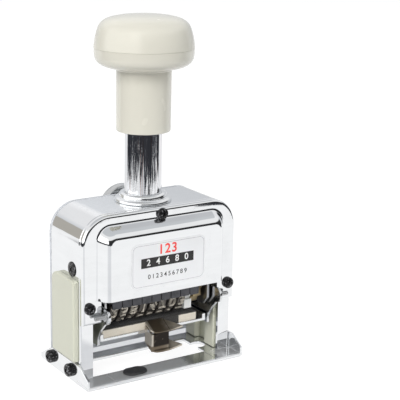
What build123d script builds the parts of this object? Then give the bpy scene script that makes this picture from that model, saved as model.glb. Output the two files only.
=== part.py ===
from build123d import *
import math
import os

# A hand numbering machine: a press knob on a fixed guide tube drives a carriage of number
# wheels down through an arched case, while the ink tray swings out of the way in front.
# Millimetres. +Z is up and -Y is the front, where the user reads the label. The origin is
# the centre of the footprint on the table. "Outer side" below means away from the plane X = 0.

# ---------------------------------------------------------------- driving dimensions
TOTAL_HEIGHT = 132.0
BASE_WIDTH, BASE_DEPTH, SHEET = 68.2, 37.8, 1.5
SIDE_SHEET = 1.0                 # the base's turned-up sides
CASE_WIDTH, CASE_TOP, CASE_CORNER = 66.0, 63.1, 11.0
BAND_FRONT, BAND_REAR, BAND_WALL = -11.0, 11.7, 1.2
FLANGE_WIDTH, FLANGE_THICK = 5.4, 1.0
COVER_THICK, REAR_COVER_THICK = 2.2, 1.2
AXIS_Y = 0.45                    # the guide tube's axis stands a little behind the middle
WHEEL_Y, WHEEL_Z = -2.5, 28.5    # the number wheels' common axis
DIGIT_R, LAND_R, GROUND_R = 10.0, 9.6, 8.7
WHEEL_COUNT, WHEEL_PITCH, DIGITS = 8, 4.2, 10
STROKE = WHEEL_Z - DIGIT_R       # down to the paper
PIVOT_Y, PIVOT_Z = WHEEL_Y, 45.0 # the ink frame hangs from here
TUBE_R, TUBE_BORE_R = 7.0, 5.6
SHAFT_R, RUNNING = 1.5, 0.05     # wheel shaft, and the radial play of every running fit
ROD_R = 3.0

HALF_CASE = CASE_WIDTH / 2
COVER_FACE = BAND_FRONT - COVER_THICK
REAR_FACE = BAND_REAR + REAR_COVER_THICK
BAND_BOTTOM = SHEET
FLANGE_INNER = HALF_CASE - FLANGE_WIDTH
PACK_HALF = 21.0                 # half the wheel pack's width
CHEEK_IN, CHEEK_OUT = 22.0, 23.0
ARM_IN, ARM_OUT = 23.8, 24.8
SHOE_IN, SHOE_OUT = 25.2, 29.3
BRIDGE_Z, BRIDGE_THICK = 48.0, 3.0

NODES = {}


def keep(name, *solids):
    """Registers one node, made of one or more separate solids."""
    NODES[name] = solids[0] if len(solids) == 1 else Compound(children=list(solids))


# ---------------------------------------------------------------- shape helpers
def block(x, y, z):
    """A box from (low, high) pairs."""
    size = [high - low for low, high in (x, y, z)]
    centre = [(high + low) / 2 for low, high in (x, y, z)]
    return Pos(*centre) * Box(*size)


def rod_x(x0, x1, y, z, r):
    return Pos((x0 + x1) / 2, y, z) * Rot(0, 90, 0) * Cylinder(r, abs(x1 - x0))


def rod_y(y0, y1, x, z, r):
    return Pos(x, (y0 + y1) / 2, z) * Rot(90, 0, 0) * Cylinder(r, abs(y1 - y0))


def rod_z(z0, z1, x, y, r):
    return Pos(x, y, (z0 + z1) / 2) * Cylinder(r, abs(z1 - z0))


def slab_x(points, x0, x1):
    """A flat plate with an outline in Y and Z, from x0 to x1."""
    face = make_face(Plane.YZ.offset(x0) * Polyline(*points, close=True))
    return extrude(face, x1 - x0, dir=(1, 0, 0))


def facing_front(y):
    """A sketch plane at y, seen from the front: X to the right, Z up, normal to -Y."""
    return Plane(origin=(0, y, 0), x_dir=(1, 0, 0), z_dir=(0, -1, 0))


def arch(half, top, corner, bottom):
    """A flat arch outline: straight sides, rounded top corners and a straight foot."""
    outline = Pos(0, (top + bottom) / 2) * Rectangle(2 * half, top - bottom)
    return fillet(outline.vertices().group_by(Axis.Y)[-1], corner)


def arch_slab(half, top, corner, bottom, y0, y1):
    return extrude(facing_front(y1) * arch(half, top, corner, bottom), y1 - y0, dir=(0, -1, 0))


def turned(profile, x, y):
    """A solid of revolution about a vertical axis from (radius, height) points."""
    face = make_face(Plane.XZ * Polyline(*profile, close=True))
    return Pos(x, y, 0) * revolve(face, Axis.Z)


def both_sides(make):
    """The same piece on the left and the right; make(side) gets -1 or +1."""
    return make(-1), make(1)


def pair(side, inner, outer):
    """An X range that lies between two distances from the middle on one side."""
    return tuple(sorted((side * inner, side * outer)))


def screw(head_r, head_h, shank_r, shank_l, slot_w):
    """A screw along +Z with its head's seat at Z = 0 and a cross recess in the head."""
    head = Pos(0, 0, head_h / 2) * Cylinder(head_r, head_h)
    head = fillet(head.edges().group_by(Axis.Z)[-1], head_h * 0.45)
    shank = Pos(0, 0, -shank_l / 2) * Cylinder(shank_r, shank_l)
    recess = Pos(0, 0, head_h) * (Box(slot_w, head_r, head_h) + Box(head_r, slot_w, head_h))
    return head + shank - recess


def coil(radius, wire_r, turns, height):
    """A spring's wire that winds up from Z = 0."""
    path = Helix(height / turns, height, radius)
    wire = Plane(origin=path @ 0, z_dir=path % 0) * Circle(wire_r)
    return sweep(wire, path, is_frenet=True)


TO_FRONT, TO_REAR = Rot(90, 0, 0), Rot(-90, 0, 0)


# ---------------------------------------------------------------- base
SIDE_TOP = 7.7
SIDE_OUTLINE = [(-BASE_DEPTH / 2, 0), (-BASE_DEPTH / 2, 3.9), (-12.7, SIDE_TOP),
                (9.3, SIDE_TOP), (BASE_DEPTH / 2, 2.3), (BASE_DEPTH / 2, 0)]
WINDOW_LEFT, WINDOW_RIGHT = -27.0, 22.5      # longer on the side of the empty shaft places
WINDOW_Y = (-10.0, 5.0)
NOTCHES_X, NOTCH_R = (-28.0, 24.0), 3.0
BASE_SCREW_Y, BASE_SCREW_Z = (-5.7, 9.4), 4.1
BASE_SCREW_R = 1.3
SEAM_X, SEAM_WIDTH, SEAM_DEPTH = 21.9, 0.3, 0.25
PAD_HEIGHT = 0.9


def base():
    half = BASE_WIDTH / 2
    plate = block((-half, half), (-BASE_DEPTH / 2, BASE_DEPTH / 2), (0, SHEET))
    for side in (-1, 1):
        x0, x1 = pair(side, half - SIDE_SHEET, half)
        plate += slab_x(SIDE_OUTLINE, x0, x1)
    # the print window, with a half-round sight notch at each end of the print line
    window = block((WINDOW_LEFT, WINDOW_RIGHT), WINDOW_Y, (-SHEET, 2 * SHEET))
    for x in NOTCHES_X:
        window += rod_z(-SHEET, 2 * SHEET, x, WHEEL_Y, NOTCH_R)
    plate -= window
    for side in (-1, 1):
        x = side * SEAM_X
        plate -= block((x - SEAM_WIDTH / 2, x + SEAM_WIDTH / 2),
                       (-BASE_DEPTH / 2, WINDOW_Y[0] - 1), (SHEET - SEAM_DEPTH, SHEET + 1))
        for y in BASE_SCREW_Y:
            plate -= rod_x(*pair(side, half - 2, half + 1), y, BASE_SCREW_Z, BASE_SCREW_R)
    footprint = RectangleRounded(BASE_WIDTH, BASE_DEPTH, 1.2)
    keep("base_plate", plate & extrude(footprint, SIDE_TOP + 1))

    screws = []
    for side in (-1, 1):
        for y in BASE_SCREW_Y:
            turn = Rot(0, 90 * side, 0)
            place = Pos(side * half, y, BASE_SCREW_Z)
            screws.append(place * turn * screw(2.45, 2.2, BASE_SCREW_R, 3.2, 0.8))
    keep("base_screws", *screws)

    # low enough for the ink frame to swing over it
    pad = extrude(SlotOverall(9.4, 6.2), PAD_HEIGHT)
    pad = fillet(pad.edges().group_by(Axis.Z)[-1], 0.6 * PAD_HEIGHT)
    keep("sight_pad", Pos(-11.6, -14.2, SHEET) * pad)


# ---------------------------------------------------------------- case
FRONT_SCREWS = [(0, 60.9), (-30.2, 29.3), (30.2, 29.3)]
REAR_SCREWS = [(-30.2, 12), (30.2, 12), (-30.2, 44), (30.2, 44)]
COVER_SCREW_R, COVER_HEAD_R, COVER_HEAD = 1.0, 2.15, 1.6
FRONT_SHANK, REAR_SHANK = 3.2, 2.4
GUIDE_WINDOW_Y, GUIDE_WINDOW_Z = (-7.0, 4.8), (12.0, 37.0)
SIDE_SCREW_Y, SIDE_SCREW_Z, SIDE_SCREW_R = -5.3, 42.6, 1.5
DIAL_Z, DIAL_R = 56.3, 9.4
LOCK_X, LOCK_Z, LOCK_R = 19.0, 50.0, 2.0
COVER_ROLL, EAR_BOTTOM, MOUTH_HALF = 1.2, 22.8, 25.3
PANEL_BOTTOM, PANEL_FACE = 31.8, -17.4
PANEL_ROOT = (27.1, 59.1, 5.5)     # half width, top and corner where the panel rises
PANEL_TOP = (23.6, 55.1, 2.5)      # the same at its flat face
PANEL_WALL = 1.2
LABEL_X, LABEL_Z, LABEL_WIDTH, LABEL_HEIGHT = 0.5, 43.4, 31.8, 16.8


def case_band():
    band = arch_slab(HALF_CASE, CASE_TOP, CASE_CORNER, BAND_BOTTOM, BAND_FRONT, BAND_REAR)
    inside = arch_slab(HALF_CASE - BAND_WALL, CASE_TOP - BAND_WALL, CASE_CORNER - BAND_WALL,
                       -5, BAND_FRONT + FLANGE_THICK, BAND_REAR - FLANGE_THICK)
    mouth = arch_slab(FLANGE_INNER, CASE_TOP - FLANGE_WIDTH, CASE_CORNER - FLANGE_WIDTH,
                      -5, BAND_FRONT - 1, BAND_REAR + 1)
    band -= inside
    band -= mouth
    band -= rod_z(CASE_TOP - 3, CASE_TOP + 1, 0, AXIS_Y, TUBE_R)
    for x, z in FRONT_SCREWS:
        band -= rod_y(BAND_FRONT - 1, BAND_FRONT + 3, x, z, COVER_SCREW_R)
    for x, z in REAR_SCREWS:
        band -= rod_y(BAND_REAR - 3, BAND_REAR + 1, x, z, COVER_SCREW_R)
    band -= rod_y(BAND_REAR - 3, BAND_REAR + 1, 0, DIAL_Z, 4.0)
    for side in (-1, 1):
        wall = pair(side, HALF_CASE - 3, HALF_CASE + 1)
        band -= block(wall, GUIDE_WINDOW_Y, GUIDE_WINDOW_Z)
        band -= rod_x(*wall, SIDE_SCREW_Y, SIDE_SCREW_Z, SIDE_SCREW_R)
        for y in BASE_SCREW_Y:
            band -= rod_x(*wall, y, BASE_SCREW_Z, BASE_SCREW_R)
    keep("case_band", band)


def raised(root, top, y_root, y_top):
    """The panel's block: bevelled on top and at the sides, cut straight below."""
    low = facing_front(y_root) * arch(*root, PANEL_BOTTOM)
    high = facing_front(y_top) * arch(*top, PANEL_BOTTOM)
    return loft([low, high], ruled=True)


def front_cover():
    cover = arch_slab(HALF_CASE, CASE_TOP, CASE_CORNER, EAR_BOTTOM, COVER_FACE, BAND_FRONT)
    cover = fillet(cover.faces().sort_by(Axis.Y)[0].edges(), COVER_ROLL)
    cover -= block((-MOUTH_HALF, MOUTH_HALF), (COVER_FACE - 1, BAND_FRONT + 1),
                   (EAR_BOTTOM - 1, PANEL_BOTTOM))
    cover += raised(PANEL_ROOT, PANEL_TOP, COVER_FACE, PANEL_FACE)
    thin = PANEL_WALL * 0.8
    inner_root = (PANEL_ROOT[0] - thin, PANEL_ROOT[1] - thin, PANEL_ROOT[2] - thin)
    inner_top = (PANEL_TOP[0] - thin, PANEL_TOP[1] - thin, PANEL_TOP[2] - thin)
    cavity = raised(inner_root, inner_top, COVER_FACE, PANEL_FACE + PANEL_WALL)
    cavity += arch_slab(*inner_root, PANEL_BOTTOM, COVER_FACE, BAND_FRONT + 1)
    cover -= cavity
    for x, z in FRONT_SCREWS:
        cover -= rod_y(COVER_FACE - 1, BAND_FRONT + 1, x, z, COVER_SCREW_R + 0.15)
        cover -= rod_y(COVER_FACE - 2, COVER_FACE, x, z, COVER_HEAD_R + 0.05)
    keep("front_cover", cover)

    form = screw(COVER_HEAD_R, COVER_HEAD, COVER_SCREW_R, FRONT_SHANK, 0.7)
    keep("cover_screws", *[Pos(x, COVER_FACE, z) * TO_FRONT * form for x, z in FRONT_SCREWS])

    label = Pos(LABEL_X, LABEL_Z) * RectangleRounded(LABEL_WIDTH, LABEL_HEIGHT, 2.6)
    keep("name_label", extrude(facing_front(PANEL_FACE) * label, 0.15))


def rear_cover():
    cover = arch_slab(HALF_CASE, CASE_TOP, CASE_CORNER, 2.6, BAND_REAR, REAR_FACE)
    for x, z in REAR_SCREWS:
        cover -= rod_y(BAND_REAR - 1, REAR_FACE + 1, x, z, COVER_SCREW_R + 0.15)
    cover -= rod_y(BAND_REAR - 1, REAR_FACE + 1, 0, DIAL_Z, 1.5)
    cover -= rod_y(BAND_REAR - 1, REAR_FACE + 1, LOCK_X, LOCK_Z, 3.2)
    keep("rear_cover", cover)

    form = screw(COVER_HEAD_R, COVER_HEAD, COVER_SCREW_R, REAR_SHANK, 0.7)
    keep("rear_screws", *[Pos(x, REAR_FACE, z) * TO_REAR * form for x, z in REAR_SCREWS])


GUIDE_PAD_Y, GUIDE_PAD_Z, GUIDE_PAD_PROUD = (-9.9, 7.1), (8.5, 39.4), 2.2
PAD_FRONT_CORNER, PAD_REAR_CORNER = 1.3, 3.4
GUIDE_Y, GUIDE_Z, GUIDE_IN = (-8.8, 10.4), (1.7, 46.0), 27.0
CHANNEL_Y, CHANNEL_FLOOR = (-3.0, 4.0), 29.6


def guides():
    """The moulded slide guides: channelled blocks, flush on the right and padded on the left."""
    pad = block((-HALF_CASE - GUIDE_PAD_PROUD, -HALF_CASE), GUIDE_PAD_Y, GUIDE_PAD_Z)
    for corner, radius in ((-1, PAD_REAR_CORNER), (0, PAD_FRONT_CORNER)):
        top = pad.edges().filter_by(Axis.X).group_by(Axis.Z)[-1]
        pad = fillet(top.sort_by(Axis.Y)[corner], radius)
    pad = fillet(pad.faces().sort_by(Axis.X)[0].edges(), 0.6)

    def guide(side):
        neck = block(pair(side, HALF_CASE - BAND_WALL, HALF_CASE), GUIDE_WINDOW_Y, GUIDE_WINDOW_Z)
        inner = block(pair(side, GUIDE_IN, HALF_CASE - BAND_WALL), GUIDE_Y, GUIDE_Z)
        inner -= block(pair(side, GUIDE_IN - 1, CHANNEL_FLOOR), CHANNEL_Y, (0, 60))
        inner -= rod_x(*pair(side, GUIDE_IN, HALF_CASE), SIDE_SCREW_Y, SIDE_SCREW_Z, SIDE_SCREW_R)
        for y in BASE_SCREW_Y:
            inner -= rod_x(*pair(side, CHANNEL_FLOOR, HALF_CASE), y, BASE_SCREW_Z, BASE_SCREW_R)
        return neck + inner

    left, right = both_sides(guide)
    keep("guide_left", pad + left)
    keep("guide_right", right)
    keep("guide_screws", *both_sides(
        lambda side: Pos(side * HALF_CASE, SIDE_SCREW_Y, SIDE_SCREW_Z) * Rot(0, 90 * side, 0)
        * screw(2.8, 0.5, SIDE_SCREW_R, 4.6, 0.8)))


# ---------------------------------------------------------------- guide tube on the case top
TUBE_BOTTOM, TUBE_TOP = 58.0, 100.0
COLLAR_PROFILE = [(TUBE_R, CASE_TOP), (10.7, CASE_TOP), (10.7, CASE_TOP + 1.1),
                  (10.2, CASE_TOP + 1.6), (9.0, CASE_TOP + 1.7), (9.0, CASE_TOP + 2.5),
                  (8.4, CASE_TOP + 3.3), (TUBE_R, CASE_TOP + 3.3)]
BUSH_TOP = 61.0
SPRING_R, SPRING_WIRE_R, SPRING_TURNS = 4.3, 0.45, 12
SEAT_Z = 96.0                    # underside of the rod's spring seat


def guide_tube():
    ring = rod_z(TUBE_BOTTOM, TUBE_TOP, 0, AXIS_Y, TUBE_R)
    ring -= rod_z(TUBE_BOTTOM - 1, TUBE_TOP + 1, 0, AXIS_Y, TUBE_BORE_R)
    keep("guide_tube", ring)
    keep("tube_collar", turned(COLLAR_PROFILE, 0, AXIS_Y))
    nut_top = CASE_TOP - BAND_WALL
    nut = Pos(0, AXIS_Y, nut_top - 3.2) * extrude(RegularPolygon(9.0, 6, major_radius=False), 3.2)
    keep("tube_nut", nut - rod_z(50, nut_top + 1, 0, AXIS_Y, TUBE_R))
    bush = rod_z(TUBE_BOTTOM, BUSH_TOP, 0, AXIS_Y, TUBE_BORE_R)
    keep("tube_bush", bush - rod_z(50, BUSH_TOP + 1, 0, AXIS_Y, ROD_R + RUNNING))

    coil_low, coil_high = BUSH_TOP + SPRING_WIRE_R, SEAT_Z - SPRING_WIRE_R
    spring = coil(SPRING_R, SPRING_WIRE_R, SPRING_TURNS, coil_high - coil_low)
    keep("return_spring", Pos(0, AXIS_Y, coil_low) * spring)


# ---------------------------------------------------------------- knob and rod
NECK_BOTTOM, NECK_R = 89.5, 10.1
PARTING_Z, KNOB_R = 120.0, 18.45
KNOB_ROOF = (120.2, 124.0)


def knob():
    outer = [(NECK_R - 0.5, NECK_BOTTOM), (NECK_R, NECK_BOTTOM + 0.6), (NECK_R + 0.1, 110.9)]
    under = Spline((NECK_R + 0.1, 0, 110.9), (11.2, 0, 112.1), (15.5, 0, 113.4),
                   (17.2, 0, 114.8), (18.0, 0, 116.3), (18.3, 0, 117.9), (KNOB_R - 0.1, 0, PARTING_Z))
    neck_line = Polyline(*[(r, 0, z) for r, z in outer])
    close = Polyline((KNOB_R - 0.1, 0, PARTING_Z), (9.6, 0, PARTING_Z), (9.6, 0, KNOB_ROOF[1]),
                     (0, 0, KNOB_ROOF[1]), (0, 0, NECK_BOTTOM), (NECK_R - 0.5, 0, NECK_BOTTOM))
    body = revolve(make_face([neck_line, under, close]), Axis.Z)
    body = Pos(0, AXIS_Y, 0) * body
    body -= rod_z(NECK_BOTTOM - 1, NECK_BOTTOM + 8, 0, AXIS_Y, TUBE_R + RUNNING)
    body -= rod_z(NECK_BOTTOM + 7, KNOB_ROOF[0], 0, AXIS_Y, 8.0)
    body -= rod_z(100, TOTAL_HEIGHT, 0, AXIS_Y, 2.0)
    keep("knob_body", body)

    crown = Spline((KNOB_R - 0.15, 0, PARTING_Z), (KNOB_R, 0, 120.3), (18.25, 0, 122.0),
                   (17.7, 0, 124.7), (16.85, 0, 127.4), (15.6, 0, 129.2), (13.2, 0, 130.6),
                   (9.0, 0, 131.5), (0, 0, TOTAL_HEIGHT))
    hollow = Polyline((0, 0, TOTAL_HEIGHT), (0, 0, 128.6), (14.0, 0, 127.6), (16.2, 0, 124.0),
                      (16.4, 0, PARTING_Z), (KNOB_R - 0.15, 0, PARTING_Z))
    cap = revolve(make_face([crown, hollow]), Axis.Z)
    keep("knob_cap", Pos(0, AXIS_Y, 0) * cap)

    nut = extrude(RegularPolygon(3.6, 6, major_radius=False), 2.6)
    nut = Pos(0, AXIS_Y, KNOB_ROOF[1]) * nut
    keep("knob_nut", nut - rod_z(120, 130, 0, AXIS_Y, 2.0))
    shaft = rod_z(BRIDGE_Z - 3.4, KNOB_ROOF[0], 0, AXIS_Y, ROD_R)
    shaft += rod_z(KNOB_ROOF[0], KNOB_ROOF[1] + 3.2, 0, AXIS_Y, 2.0)
    keep("plunger_rod", shaft)
    seat = rod_z(SEAT_Z, SEAT_Z + 2.5, 0, AXIS_Y, 5.2)
    keep("spring_seat", seat - rod_z(90, 100, 0, AXIS_Y, ROD_R))


# ---------------------------------------------------------------- carriage
CHEEK_OUTLINE = [(-10, 48), (-13.8, 45), (-13.8, 38.5), (-11.4, 35.5), (-11.4, 24), (-8.5, 20.7),
                 (3.5, 20.7), (6.2, 24), (6.2, 39), (4.6, 48)]
DETENT_Y, DETENT_Z = -11.7, 41.6
DETENT_BAR_R = 1.0
CLIP_GROOVE = 0.4


def carriage():
    bridge = block((-26.5, 26.5), (-9.5, 4.6), (BRIDGE_Z, BRIDGE_Z + BRIDGE_THICK))
    bridge = fillet(bridge.edges().filter_by(Axis.Z), 1.5)
    bridge += block((-SHOE_OUT, SHOE_OUT), (CHANNEL_Y[0] + 0.3, CHANNEL_Y[1] - 0.3),
                    (BRIDGE_Z, BRIDGE_Z + BRIDGE_THICK))
    bridge -= rod_z(40, 60, 0, AXIS_Y, ROD_R)
    cheek_screw_y = (-7.2, 2.6)
    screw_x = (CHEEK_IN + CHEEK_OUT) / 2
    for side in (-1, 1):
        for y in cheek_screw_y:
            bridge -= rod_z(BRIDGE_Z - 1, 60, side * screw_x, y, 0.4)
    keep("carriage_bridge", bridge)
    nut = extrude(RegularPolygon(4.6, 6, major_radius=False), 2.8)
    nut = Pos(0, AXIS_Y, BRIDGE_Z - 2.8) * nut
    keep("rod_nut", nut - rod_z(40, 60, 0, AXIS_Y, ROD_R))
    heads = [Pos(side * screw_x, y, BRIDGE_Z + BRIDGE_THICK) * screw(1.6, 1.0, 0.4, 3.0, 0.4)
             for side in (-1, 1) for y in cheek_screw_y]
    keep("bridge_screws", *heads)

    def cheek(side):
        plate = slab_x(CHEEK_OUTLINE, *pair(side, CHEEK_IN, CHEEK_OUT))
        across = pair(side, CHEEK_IN - 1, CHEEK_OUT + 1)
        plate -= rod_x(*across, WHEEL_Y, WHEEL_Z, SHAFT_R)
        plate -= rod_x(*across, PIVOT_Y, PIVOT_Z, SHAFT_R)
        plate -= rod_x(*across, DETENT_Y, DETENT_Z, DETENT_BAR_R)
        return plate

    left, right = both_sides(cheek)
    keep("carriage_cheek_left", left)
    keep("carriage_cheek_right", right)

    def shoe(side):
        bar = block(pair(side, SHOE_IN, SHOE_OUT), (CHANNEL_Y[0] + 0.3, CHANNEL_Y[1] - 0.3),
                    (24, BRIDGE_Z))
        bar = chamfer(bar.edges().group_by(Axis.Z)[0], 0.8)
        return bar - rod_x(*pair(side, SHOE_IN - 1, SHOE_IN + 1.2), PIVOT_Y, PIVOT_Z, SHAFT_R)

    left, right = both_sides(shoe)
    keep("slide_shoe_left", left)
    keep("slide_shoe_right", right)
    keep("pivot_pins", *both_sides(
        lambda side: rod_x(*pair(side, CHEEK_IN, SHOE_IN + 1.2), PIVOT_Y, PIVOT_Z, SHAFT_R)))
    keep("wheel_shaft", rod_x(-CHEEK_OUT, CHEEK_OUT, WHEEL_Y, WHEEL_Z, SHAFT_R))
    keep("shaft_clips", *both_sides(
        lambda side: rod_x(*pair(side, CHEEK_OUT, CHEEK_OUT + CLIP_GROOVE), WHEEL_Y, WHEEL_Z, 2.4)))
    keep("detent_bar", rod_x(-CHEEK_OUT, CHEEK_OUT, DETENT_Y, DETENT_Z, DETENT_BAR_R))
    keep("cheek_studs", *both_sides(
        lambda side: rod_x(*pair(side, CHEEK_OUT, CHEEK_OUT + 0.5), -9.9, 30.2, 1.3)
        + rod_x(*pair(side, CHEEK_OUT, CHEEK_OUT + 0.5), -12.2, 40.2, 1.1)))


def slot_x(index):
    """Middle of one of the ten equal places along the wheel shaft."""
    return -PACK_HALF + WHEEL_PITCH * (index + 0.5)


def detents():
    """One flat spring-steel detent in front of each wheel, all on one bar."""
    pawls = []
    for index in range(WHEEL_COUNT + 1):
        x0, x1 = slot_x(index) - 1.95, slot_x(index) + 1.95
        leaf = block((x0, x1), (-13.7, -12.9), (27.3, DETENT_Z))
        leaf += rod_x(x0, x1, DETENT_Y, DETENT_Z, 2.0)
        pawls.append(leaf - rod_x(x0 - 1, x1 + 1, DETENT_Y, DETENT_Z, DETENT_BAR_R + RUNNING))
    keep("detent_pawls", *pawls)


# ---------------------------------------------------------------- number wheels
RIM_LOW, RIM_HIGH, RATCHET_HIGH = -1.85, 1.3, 1.8     # along X, from the place's middle
LAND_GAP = 1.3
BLANK_WHEELS = 2                 # the first wheels rest on a place with no digit


def star(teeth, outer, inner, x0, x1):
    """A ratchet disc with slanted teeth about the wheel axis."""
    points = []
    for tooth in range(teeth):
        start = 2 * math.pi * tooth / teeth
        for angle, radius in ((start, outer), (start + 0.9 * math.pi / teeth, inner)):
            points.append((WHEEL_Y + radius * math.cos(angle), WHEEL_Z + radius * math.sin(angle)))
    return slab_x(points, x0, x1)


def number_wheels():
    for index in range(WHEEL_COUNT):
        x = slot_x(index)
        wheel = rod_x(x + RIM_LOW, x + RIM_HIGH, WHEEL_Y, WHEEL_Z, LAND_R)
        gap_depth = LAND_R - GROUND_R
        for digit in range(DIGITS):
            angle = 360 / DIGITS * (digit + 0.5)
            gap = Pos(0, 0, -LAND_R) * Box(4, LAND_GAP, 2 * gap_depth)
            wheel -= Pos(x + (RIM_LOW + RIM_HIGH) / 2, WHEEL_Y, WHEEL_Z) * Rot(angle, 0, 0) * gap
        if index < BLANK_WHEELS:
            wheel -= Pos(x, WHEEL_Y, WHEEL_Z - LAND_R) * Box(5, 6.0, 2 * gap_depth)
        wheel += star(DIGITS, 8.3, 7.1, x + RIM_HIGH, x + RATCHET_HIGH)
        wheel -= rod_x(x - 3, x + 3, WHEEL_Y, WHEEL_Z, SHAFT_R + RUNNING)
        keep(f"number_wheel_{index + 1}", wheel)

    spacer = rod_x(12.8, 16.2, WHEEL_Y, WHEEL_Z, 7.0)
    spacer += block((12.9, 16.1), (-9.4, -6.0), (20.5, 24.0))
    spacer -= rod_x(12, 17, WHEEL_Y, WHEEL_Z, SHAFT_R)
    keep("end_spacer", spacer)


# ---------------------------------------------------------------- feed drive
DRIVE_IN, DRIVE_OUT = 21.2, 21.8
DRIVE_BAR_ANGLE, DRIVE_BAR_REACH, DRIVE_BAR_R = math.radians(20), 11.9, 0.9
DRIVE_BAR_Y = WHEEL_Y + DRIVE_BAR_REACH * math.cos(DRIVE_BAR_ANGLE)
DRIVE_BAR_Z = WHEEL_Z + DRIVE_BAR_REACH * math.sin(DRIVE_BAR_ANGLE)


def feed_drive():
    """A yoke that rocks about the wheel shaft and feeds the ratchets at each stroke."""
    yoke = rod_x(-DRIVE_OUT, DRIVE_OUT, DRIVE_BAR_Y, DRIVE_BAR_Z, DRIVE_BAR_R)
    for side in (-1, 1):
        x0, x1 = pair(side, DRIVE_IN, DRIVE_OUT)
        arm = slab_x([(WHEEL_Y, WHEEL_Z - 2.6), (DRIVE_BAR_Y + 0.4, DRIVE_BAR_Z - 1.0),
                      (DRIVE_BAR_Y, DRIVE_BAR_Z + 1.0), (WHEEL_Y, WHEEL_Z + 2.6)], x0, x1)
        arm += rod_x(x0, x1, WHEEL_Y, WHEEL_Z, 2.6)
        yoke += arm - rod_x(x0 - 1, x1 + 1, WHEEL_Y, WHEEL_Z, SHAFT_R + RUNNING)
    keep("drive_yoke", yoke)

    sine, cosine = math.sin(DRIVE_BAR_ANGLE), math.cos(DRIVE_BAR_ANGLE)

    def polar(reach, across):
        return (WHEEL_Y + reach * cosine - across * sine, WHEEL_Z + reach * sine + across * cosine)

    fingers = []
    for index in range(WHEEL_COUNT):
        x = slot_x(index) + (RIM_HIGH + RATCHET_HIGH) / 2
        finger = slab_x([polar(8.65, 1.5), polar(8.65, 0.9), polar(12.2, -1.4), polar(13.0, 1.6)],
                        x - 0.2, x + 0.2)
        fingers.append(finger - rod_x(x - 1, x + 1, DRIVE_BAR_Y, DRIVE_BAR_Z, DRIVE_BAR_R))
    keep("feed_fingers", *fingers)
    hub = star(12, 7.8, 6.6, 17.0, 20.6)
    keep("drive_ratchet", hub - rod_x(16, 22, WHEEL_Y, WHEEL_Z, SHAFT_R + RUNNING))


# ---------------------------------------------------------------- ink frame, tray and felt
TRAY_HALF, TRAY_FRONT, TRAY_REAR, TRAY_Z = 23.3, -8.7, 4.4, 13.7
TRAY_WALL, TRAY_LIP, TRAY_TOP = 0.6, 14.8, 16.6      # the front wall is lowered to the lip
FELT_LEFT, FELT_RIGHT, FELT_TOP = -22.2, 19.7, 18.2
SHELF_BOTTOM = 12.8
STUD_Y, STUD_Z, LOBE_R = -14.9, 25.8, 2.9
ARM_OUTLINE = [(PIVOT_Y - 2.5, PIVOT_Z), (PIVOT_Y - 3.4, 30), (-11.0, 28.6), (STUD_Y, STUD_Z + LOBE_R),
               (STUD_Y, STUD_Z - LOBE_R), (-11.6, 19.5), (TRAY_FRONT - 0.6, 15.5),
               (TRAY_FRONT - 0.6, SHELF_BOTTOM), (TRAY_REAR + 0.9, SHELF_BOTTOM),
               (TRAY_REAR + 0.9, 17.5), (1.2, 21), (PIVOT_Y + 2.5, 34), (PIVOT_Y + 2.5, PIVOT_Z)]


def ink_frame():
    """A bent sheet: two arms on the carriage's pivots, joined by a shelf for the tray."""
    shelf_top = TRAY_Z - 0.1
    frame = block((-ARM_OUT, ARM_OUT), (-5.0, TRAY_REAR + 0.9), (SHELF_BOTTOM, shelf_top))
    frame += block((-ARM_OUT, ARM_OUT), (TRAY_REAR + 0.1, TRAY_REAR + 0.9), (SHELF_BOTTOM, 17.5))
    for side in (-1, 1):
        x0, x1 = pair(side, ARM_IN, ARM_OUT)
        arm = slab_x(ARM_OUTLINE, x0, x1)
        arm += rod_x(x0, x1, PIVOT_Y, PIVOT_Z, 2.5)
        arm += rod_x(x0, x1, STUD_Y, STUD_Z, LOBE_R)
        arm -= rod_x(x0 - 1, x1 + 1, PIVOT_Y, PIVOT_Z, SHAFT_R + RUNNING)
        frame += arm
    keep("ink_frame", frame)
    keep("frame_studs", *both_sides(
        lambda side: rod_x(*pair(side, ARM_OUT, 29.0), STUD_Y, STUD_Z, 0.8)
        + rod_x(*pair(side, ARM_OUT, ARM_OUT + 0.4), STUD_Y, STUD_Z, 1.6)))

    tray = block((-TRAY_HALF, TRAY_HALF), (TRAY_FRONT, TRAY_REAR), (TRAY_Z, TRAY_TOP))
    tray -= block((-TRAY_HALF + TRAY_WALL, TRAY_HALF - TRAY_WALL),
                  (TRAY_FRONT + TRAY_WALL, TRAY_REAR - TRAY_WALL), (TRAY_Z + TRAY_WALL, 20))
    tray -= block((-TRAY_HALF + 1.4, TRAY_HALF - 1.4), (TRAY_FRONT - 1, TRAY_FRONT + 2),
                  (TRAY_LIP, 20))
    keep("ink_tray", tray)
    # the pad reaches further left, where the number wheels are
    felt = block((FELT_LEFT, FELT_RIGHT), (TRAY_FRONT + TRAY_WALL + 0.1, TRAY_REAR - TRAY_WALL - 0.1),
                 (TRAY_Z + TRAY_WALL, FELT_TOP))
    keep("ink_felt", felt)


# ---------------------------------------------------------------- finger clip
CLIP_BACK = TRAY_FRONT - 0.2
UPPER_LEAF, LOWER_LEAF = 18.4, 10.9          # the leaves' tops along their back edge
LEAF_FALL, LEAF_DEPTH = 0.54, 0.68           # slope towards the front, thickness along Z
LEAF_LEFT, LEAF_RIGHT = -4.2, 3.0            # the back edge
LEAF_TIP = (9.6, -4.8)                       # the wing's point, Y from the back edge
LEAF_CORNER = (LEAF_LEFT, -3.3)
WEB_LEFT, WEB_RIGHT, WEB_FRONT, CLIP_WALL = -4.1, 3.5, -13.7, 0.6
WEB_TOP = 14.4
HINGE_Y, HINGE_Z, PIN_R = -11.2, 15.2, 0.6


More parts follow.
